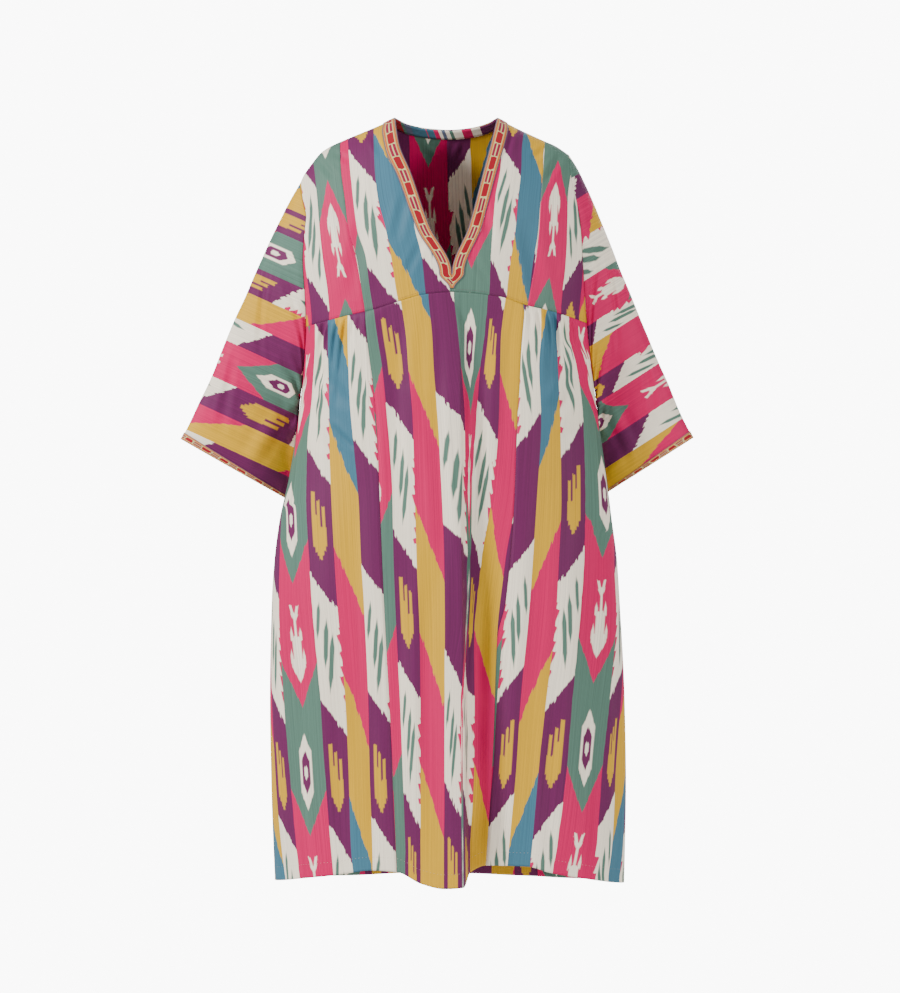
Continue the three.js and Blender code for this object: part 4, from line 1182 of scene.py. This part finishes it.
def finish_cloth(tree, colour, roughness, sheen, ridge_across, ridge_down, depth):
    """Principled cloth with its weave as a bump."""
    x, y = read_uv(tree, "weave")
    across = (x * (2 * math.pi / ridge_across)).op("SINE")
    weave = across * (y * (2 * math.pi / ridge_down)).op("SINE")
    slub = noise(tree, x * 0.5, y * 0.06, 1.0, 2.0)
    height = weave * 0.25 + slub
    bump = tree.nodes.new("ShaderNodeBump")
    bump.inputs["Strength"].default_value = 0.35
    bump.inputs["Distance"].default_value = depth
    tree.links.new(height.socket, bump.inputs["Height"])
    shader = tree.nodes["Principled BSDF"]
    tree.links.new(colour, shader.inputs["Base Color"])
    tree.links.new(bump.outputs[0], shader.inputs["Normal"])
    shader.inputs["Roughness"].default_value = roughness
    shader.inputs["Sheen Weight"].default_value = sheen
    shader.inputs["Specular IOR Level"].default_value = 0.2


def new_material(name):
    material = bpy.data.materials.new(name)
    material.use_nodes = True
    return material


def ikat_material(name, join_at=99.0, join_shift=0.0):
    material = new_material(name)
    tree = material.node_tree
    group = tree.nodes.new("ShaderNodeGroup")
    group.node_tree = IKAT
    for slot, value in zip(group.inputs, read_uv(tree, "dye")):
        tree.links.new(value.socket, slot)
    group.inputs["join at"].default_value = join_at
    group.inputs["join shift"].default_value = join_shift
    finish_cloth(tree, group.outputs[0], 0.6, 0.03, 1.1, 1.3, 0.0003)
    return material


BLOCK = 23.5  # length of one block of the neck braid
OUTLINE = linear(196, 188, 128)


def braid_material(name, width):
    """Woven braid: one wide block, then two narrow ones, between hatched edges."""
    material = new_material(name)
    tree = material.node_tree
    run, share = read_uv(tree, "dye")
    scale = width / BRAID_WIDTH
    away = abs(share * BRAID_WIDTH - BRAID_WIDTH / 2)
    wander = noise(tree, run * 0.11, share * 2.0) - 0.5
    block = ((run + share * (5.0 * scale) + wander * 5.0) / (BLOCK * scale)).wrap(2.0)
    in_block = block.wrap(1.0)
    pointed = (abs(in_block - 0.5) * -1.0 + 0.5) * (BLOCK * scale) - away * 0.35
    wide = (pointed - 0.4).least(away * -1.0 + 3.9)
    pair = (pointed - 0.4).least(abs(away - 2.4) * -1.0 + 1.6)
    is_pair = (block - 1.0).op("GREATER_THAN", 0.0)
    colour = mixed(tree, wide.over(0.3) * (is_pair * -1.0 + 1.0), OUTLINE, CRIMSON)
    colour = mixed(tree, pair.over(0.3) * is_pair, colour, linear(140, 16, 52))
    hatch = (((run + away * 1.6) / 2.4).wrap(1.0) - 0.5).over(0.25)
    dots = ((run / 1.7).wrap(1.0) - 0.5).over(0.3)
    for start, under, over, turn in (
        (4.6, linear(206, 176, 96), linear(190, 120, 44), hatch),
        (5.7, linear(176, 40, 30), linear(204, 96, 40), hatch),
        (6.8, linear(206, 170, 84), linear(176, 60, 40), hatch),
        (7.6, SLATE, linear(110, 110, 90), dots), (8.3, linear(120, 24, 70), SLATE, dots),
    ):
        colour = mixed(tree, (away - start).over(0.25), colour, mixed(tree, turn, under, over))
    finish_cloth(tree, colour, 0.7, 0.15, 1.4, 0.9, 0.0006)
    return material


# start x of each stripe of the facing
FACING_STRIPES = [
    (-90, CRIMSON), (-67, GREEN), (-63, SLATE), (-54, BLUE), (-33, PINK), (-31.5, BLUE),
    (-21, PINK), (-14, CREAM), (-9, SLATE), (-3, CREAM), (3, GREEN), (9, CREAM), (23, PINK),
    (38, CREAM), (53, PLUM),
]


def facing_material():
    material = new_material("facing_stripes")
    tree = material.node_tree
    x, z = read_uv(tree, "dye")
    x = x + (z + 22.0) * 0.4
    ramp = tree.nodes.new("ShaderNodeValToRGB")
    ramp.color_ramp.interpolation = "CONSTANT"
    stops = ramp.color_ramp.elements
    low, high = FACING_STRIPES[0][0], 90
    for index, (start, colour) in enumerate(FACING_STRIPES):
        place = (start - low) / (high - low)
        stop = stops[index] if index < 2 else stops.new(place)
        stop.position = place
        stop.color = colour
    tree.links.new(((x - low) / (high - low)).socket, ramp.inputs[0])
    finish_cloth(tree, ramp.outputs[0], 0.55, 0.12, 1.1, 1.3, 0.0003)
    return material


def thread_material(name, colour):
    material = new_material(name)
    tree = material.node_tree
    place = tree.nodes.new("ShaderNodeTexCoord")
    wave = tree.nodes.new("ShaderNodeTexWave")
    wave.inputs["Scale"].default_value = 900
    tree.links.new(place.outputs["Object"], wave.inputs["Vector"])
    tone = Number(tree, wave.outputs[1])
    result = mixed(tree, tone, colour, [c * 0.72 for c in colour[:3]] + [1])
    shader = tree.nodes["Principled BSDF"]
    tree.links.new(result, shader.inputs["Base Color"])
    shader.inputs["Roughness"].default_value = 0.6
    return material


IKAT = ikat_group()
ikat = ikat_material("ikat_cloth")
ikat_left_sleeve = ikat_material("ikat_left_sleeve", 8.0, -0.5816)
neck_braid = braid_material("neck_braid", BRAID_WIDTH)
cuff_braid = braid_material("cuff_braid", CUFF_BRAID)

# ---- The pieces --------------------------------------------------------------------------------

for half in ("left", "right"):
    piece(
        f"yoke_{half}", yoke_walls(half), ikat, f"front_yoke_{half}"
    )
    piece(
        f"braid_{half}", [neck_braid_wall(half)], neck_braid, f"neck_braid_{half}"
    )

SKIRTS = {
    "skirt_left": ([("left_side", "left_outer", 56)], LEFT_LINES, 1, 1, -623, 249, 1),
    "skirt_centre": (
        [("left_inner", "fold_front", 34), ("fold_front", "fold_rear", 10),
         ("fold_rear", "right_inner", 22)], CENTRE_LINES, 2, 1, -358, 256, 3,
    ),
    "skirt_right": ([("right_outer", "right_side", 56)], RIGHT_LINES, 4, -1, -583, 251, 1),
}
NODES = {
    "skirt_left": "skirt_front_left", "skirt_centre": "skirt_front_centre",
    "skirt_right": "skirt_front_right",
}
hem_lines = []
for name, (parts, lines, first, way, eye_z, repeat, whole) in SKIRTS.items():
    wall, points, normal, v = skirt_wall(parts, lines, first, way, eye_z, repeat, whole)
    piece(name, [wall], ikat, NODES[name])
    row = hem_row(v, FRONT_RUN)
    hem_lines.append((points[row], normal[row]))

last_column = len(BACK_TOP_X) - 1
braid_end = BRAID_WIDTH / BACK_RUN
fold, hem = 1 - (HEM_TURN + HEM_FOLD) / BACK_RUN, 1 - HEM_TURN / BACK_RUN
back_rows = spread((0, braid_end, 6), (braid_end, fold, 236), (fold, hem, 1), (hem, 1, 6))
join_column = float(np.interp(BACK_JOIN_X, BACK_TOP_X, np.arange(last_column + 1)))
back_walls = []
for start, end, count, first, way, eye in (
    (0, join_column, 64, 2, 1, 29), (join_column, last_column, 66, 1, -1, 28),
):
    points, normal = back_grid(np.linspace(start, end, count + 1), back_rows)
    join = points[:, -1 if start == 0 else 0]
    order = np.argsort(join[:, 2])
    line = [(z, x) for x, z in zip(join[order[::24], 0], join[order[::24], 2])]
    number = column_numbers(points, line, first, way)
    down = run_down(points)
    dye = np.stack([number, warp_place(down, eye)], axis=-1)
    back_walls.append(thin_wall(points, normal, 0, hem_inner(points, back_rows, BACK_RUN), dye))
    row = hem_row(back_rows, BACK_RUN)
    hem_lines.append((points[row], normal[row]))
piece("back_cloth", back_walls, ikat, "back")

facing_rows = np.linspace(0, FACING_WIDTH / BACK_RUN, 5)
points, normal = back_grid(np.linspace(7, 15, 81), facing_rows)
dye = np.stack([points[..., 0], points[..., 2]], axis=-1)
piece(
    "facing", [thin_wall(points, normal, -CLOTH - FACING_GAP, -2 * CLOTH - FACING_GAP, dye)],
    facing_material(), "back_neck_facing",
)
braid_rows = np.linspace(0, braid_end, 9)
points, normal = back_grid(np.linspace(6, 16, 101), braid_rows)
piece(
    "braid_back", [braid_wall(points.transpose(1, 0, 2), normal.transpose(1, 0, 2))],
    neck_braid, "neck_braid_back",
)

turns = np.linspace(-math.pi, math.pi, 181)
for half, material, lines in (
    ("left", ikat_left_sleeve, SLEEVE_LEFT_LINES), ("right", ikat, SLEEVE_RIGHT_LINES),
):
    w = spread((0, 0.1, 12), (0.1, 1, 84))
    points, normal = sleeve_grid(half, w, turns)
    s, t = sleeve_places(half, points, turns)
    number = np.interp(s, *np.array(lines, float).T)
    dye = np.stack([number, (SLEEVE_PHASES[half] - t / STEP) / REPEAT + 4], axis=-1)
    piece(
        f"sleeve_cloth_{half}", [thin_wall(points, normal, 0, -CLOTH, dye, wrapped=True)],
        material, f"sleeve_{half}",
    )
    outer = np.array(SLEEVES[half]["outer"])
    length = math.dist(outer[0, 1:], outer[-1, 1:])
    points, normal = sleeve_grid(half, np.linspace(1 - CUFF_BRAID / length, 1, 7), turns)
    thick = BRAID_WALL * CUFF_THIN
    run = run_along(points, 1)
    dye = np.stack([run, np.broadcast_to(np.linspace(0, 1, 7)[:, None], run.shape)], axis=-1)
    piece(
        f"cuff_{half}",
        [thin_wall(points, normal, BRAID_LIFT + thick, BRAID_LIFT, dye, wrapped=True)],
        cuff_braid, f"cuff_braid_{half}",
    )

# ---- Stitches ----------------------------------------------------------------------------------


def stitches(name, lines, colour, stitch=2.8, gap=1.7, thick=0.35):
    """Short threads along lines of points with normals."""
    shape = np.array(
        [(-0.5, 0, 0), (0, 1, 0), (0, 0, 1), (0, -1, 0), (0, 0, -0.6), (0.5, 0, 0)], float
    )
    sides = [(0, 1, 2), (0, 2, 3), (0, 3, 4), (0, 4, 1), (5, 2, 1), (5, 3, 2), (5, 4, 3), (5, 1, 4)]
    verts, faces = [], []
    for points, normal in lines:
        run = run_along(points)
        for at in np.arange(stitch, run[-1] - stitch, stitch + gap):
            middle, ahead, out = (
                np.array([np.interp(spot, run, values[:, k]) for k in range(3)])
                for spot, values in ((at, points), (at + 0.5, points), (at, normal))
            )
            forward = ahead - middle
            forward /= np.linalg.norm(forward)
            out /= np.linalg.norm(out)
            side = np.cross(out, forward)
            start = len(verts)
            for a, b, c in shape:
                spot = middle + forward * a * stitch + side * b * thick
                verts.append((spot + out * (c * thick + 0.12)) * MM)
            faces += [[start + k for k in face] for face in sides]
    mesh = bpy.data.meshes.new(name)
    mesh.from_pydata([tuple(v) for v in verts], [], faces)
    mesh.shade_smooth()
    mesh.materials.append(thread_material(f"{name}_thread", colour))
    obj = add_object(name, mesh)
    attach(obj, "root")


yoke_lines = []
for half in ("left", "right"):
    shares = np.linspace(0.02, 0.99, 120)[None, :]
    points, normal = yoke_grid(half, shares, np.array([0.975, 0.985, 0.995]))
    yoke_lines.append((points[1], normal[1]))
stitches("hem_stitches", hem_lines, linear(206, 188, 172), 2.2, 3.4, 0.28)
stitches("yoke_topstitch", yoke_lines, linear(120, 50, 80), 2.2, 0.9, 0.28)

# ---- Studio --------------------------------------------------------------------------------------

FLOOR_Z, FLOOR_RADIUS = -1.5, 1.75
BACKDROP, AMBIENT = 9.7, 0.5  # strength of the white world as the camera sees it and as it lights
LIGHT_AIM = (0, 0, -0.6)
CAMERA_PLACE, CAMERA_LENS = (0.0031, -10, -0.5867), 233.9
turns = np.linspace(0, 2 * math.pi, 97)[:-1]
mesh = bpy.data.meshes.new("floor")
disc = [(FLOOR_RADIUS * math.cos(a), FLOOR_RADIUS * math.sin(a), FLOOR_Z) for a in turns]
mesh.from_pydata(disc, [], [tuple(range(len(disc)))])
floor_material = new_material("floor")
shader = floor_material.node_tree.nodes["Principled BSDF"]
shader.inputs["Base Color"].default_value = (0.9, 0.9, 0.9, 1)
shader.inputs["Roughness"].default_value = 0.9
mesh.materials.append(floor_material)
floor = add_object("floor", mesh)

world = bpy.data.worlds.new("studio")
world.use_nodes = True
background = world.node_tree.nodes["Background"]
background.inputs[0].default_value = (1, 1, 1, 1)
seen = Number(world.node_tree, world.node_tree.nodes.new("ShaderNodeLightPath").outputs[0])
world.node_tree.links.new((seen * (BACKDROP - AMBIENT) + AMBIENT).socket, background.inputs[1])
bpy.context.scene.world = world


def softbox(name, place, power, side):
    light = bpy.data.lights.new(name, "AREA")
    light.energy = power
    light.size = side
    obj = add_object(name, light)
    obj.location = place
    obj.rotation_mode = "QUATERNION"
    obj.rotation_quaternion = (Vector(LIGHT_AIM) - Vector(place)).to_track_quat("-Z", "Y")


softbox("key", (-2.9, -1.7, 1.5), 210, 0.8)
softbox("fill", (2.6, -2.4, 0.6), 80, 0.9)
softbox("rear", (1.6, 2.8, 1.2), 60, 1.6)

camera = bpy.data.cameras.new("camera")
camera.sensor_fit = "VERTICAL"
camera.sensor_height = 36
camera.lens = CAMERA_LENS
camera_object = add_object("camera", camera)
camera_object.location = CAMERA_PLACE
camera_object.rotation_euler = (math.pi / 2, 0, 0)
bpy.context.scene.camera = camera_object
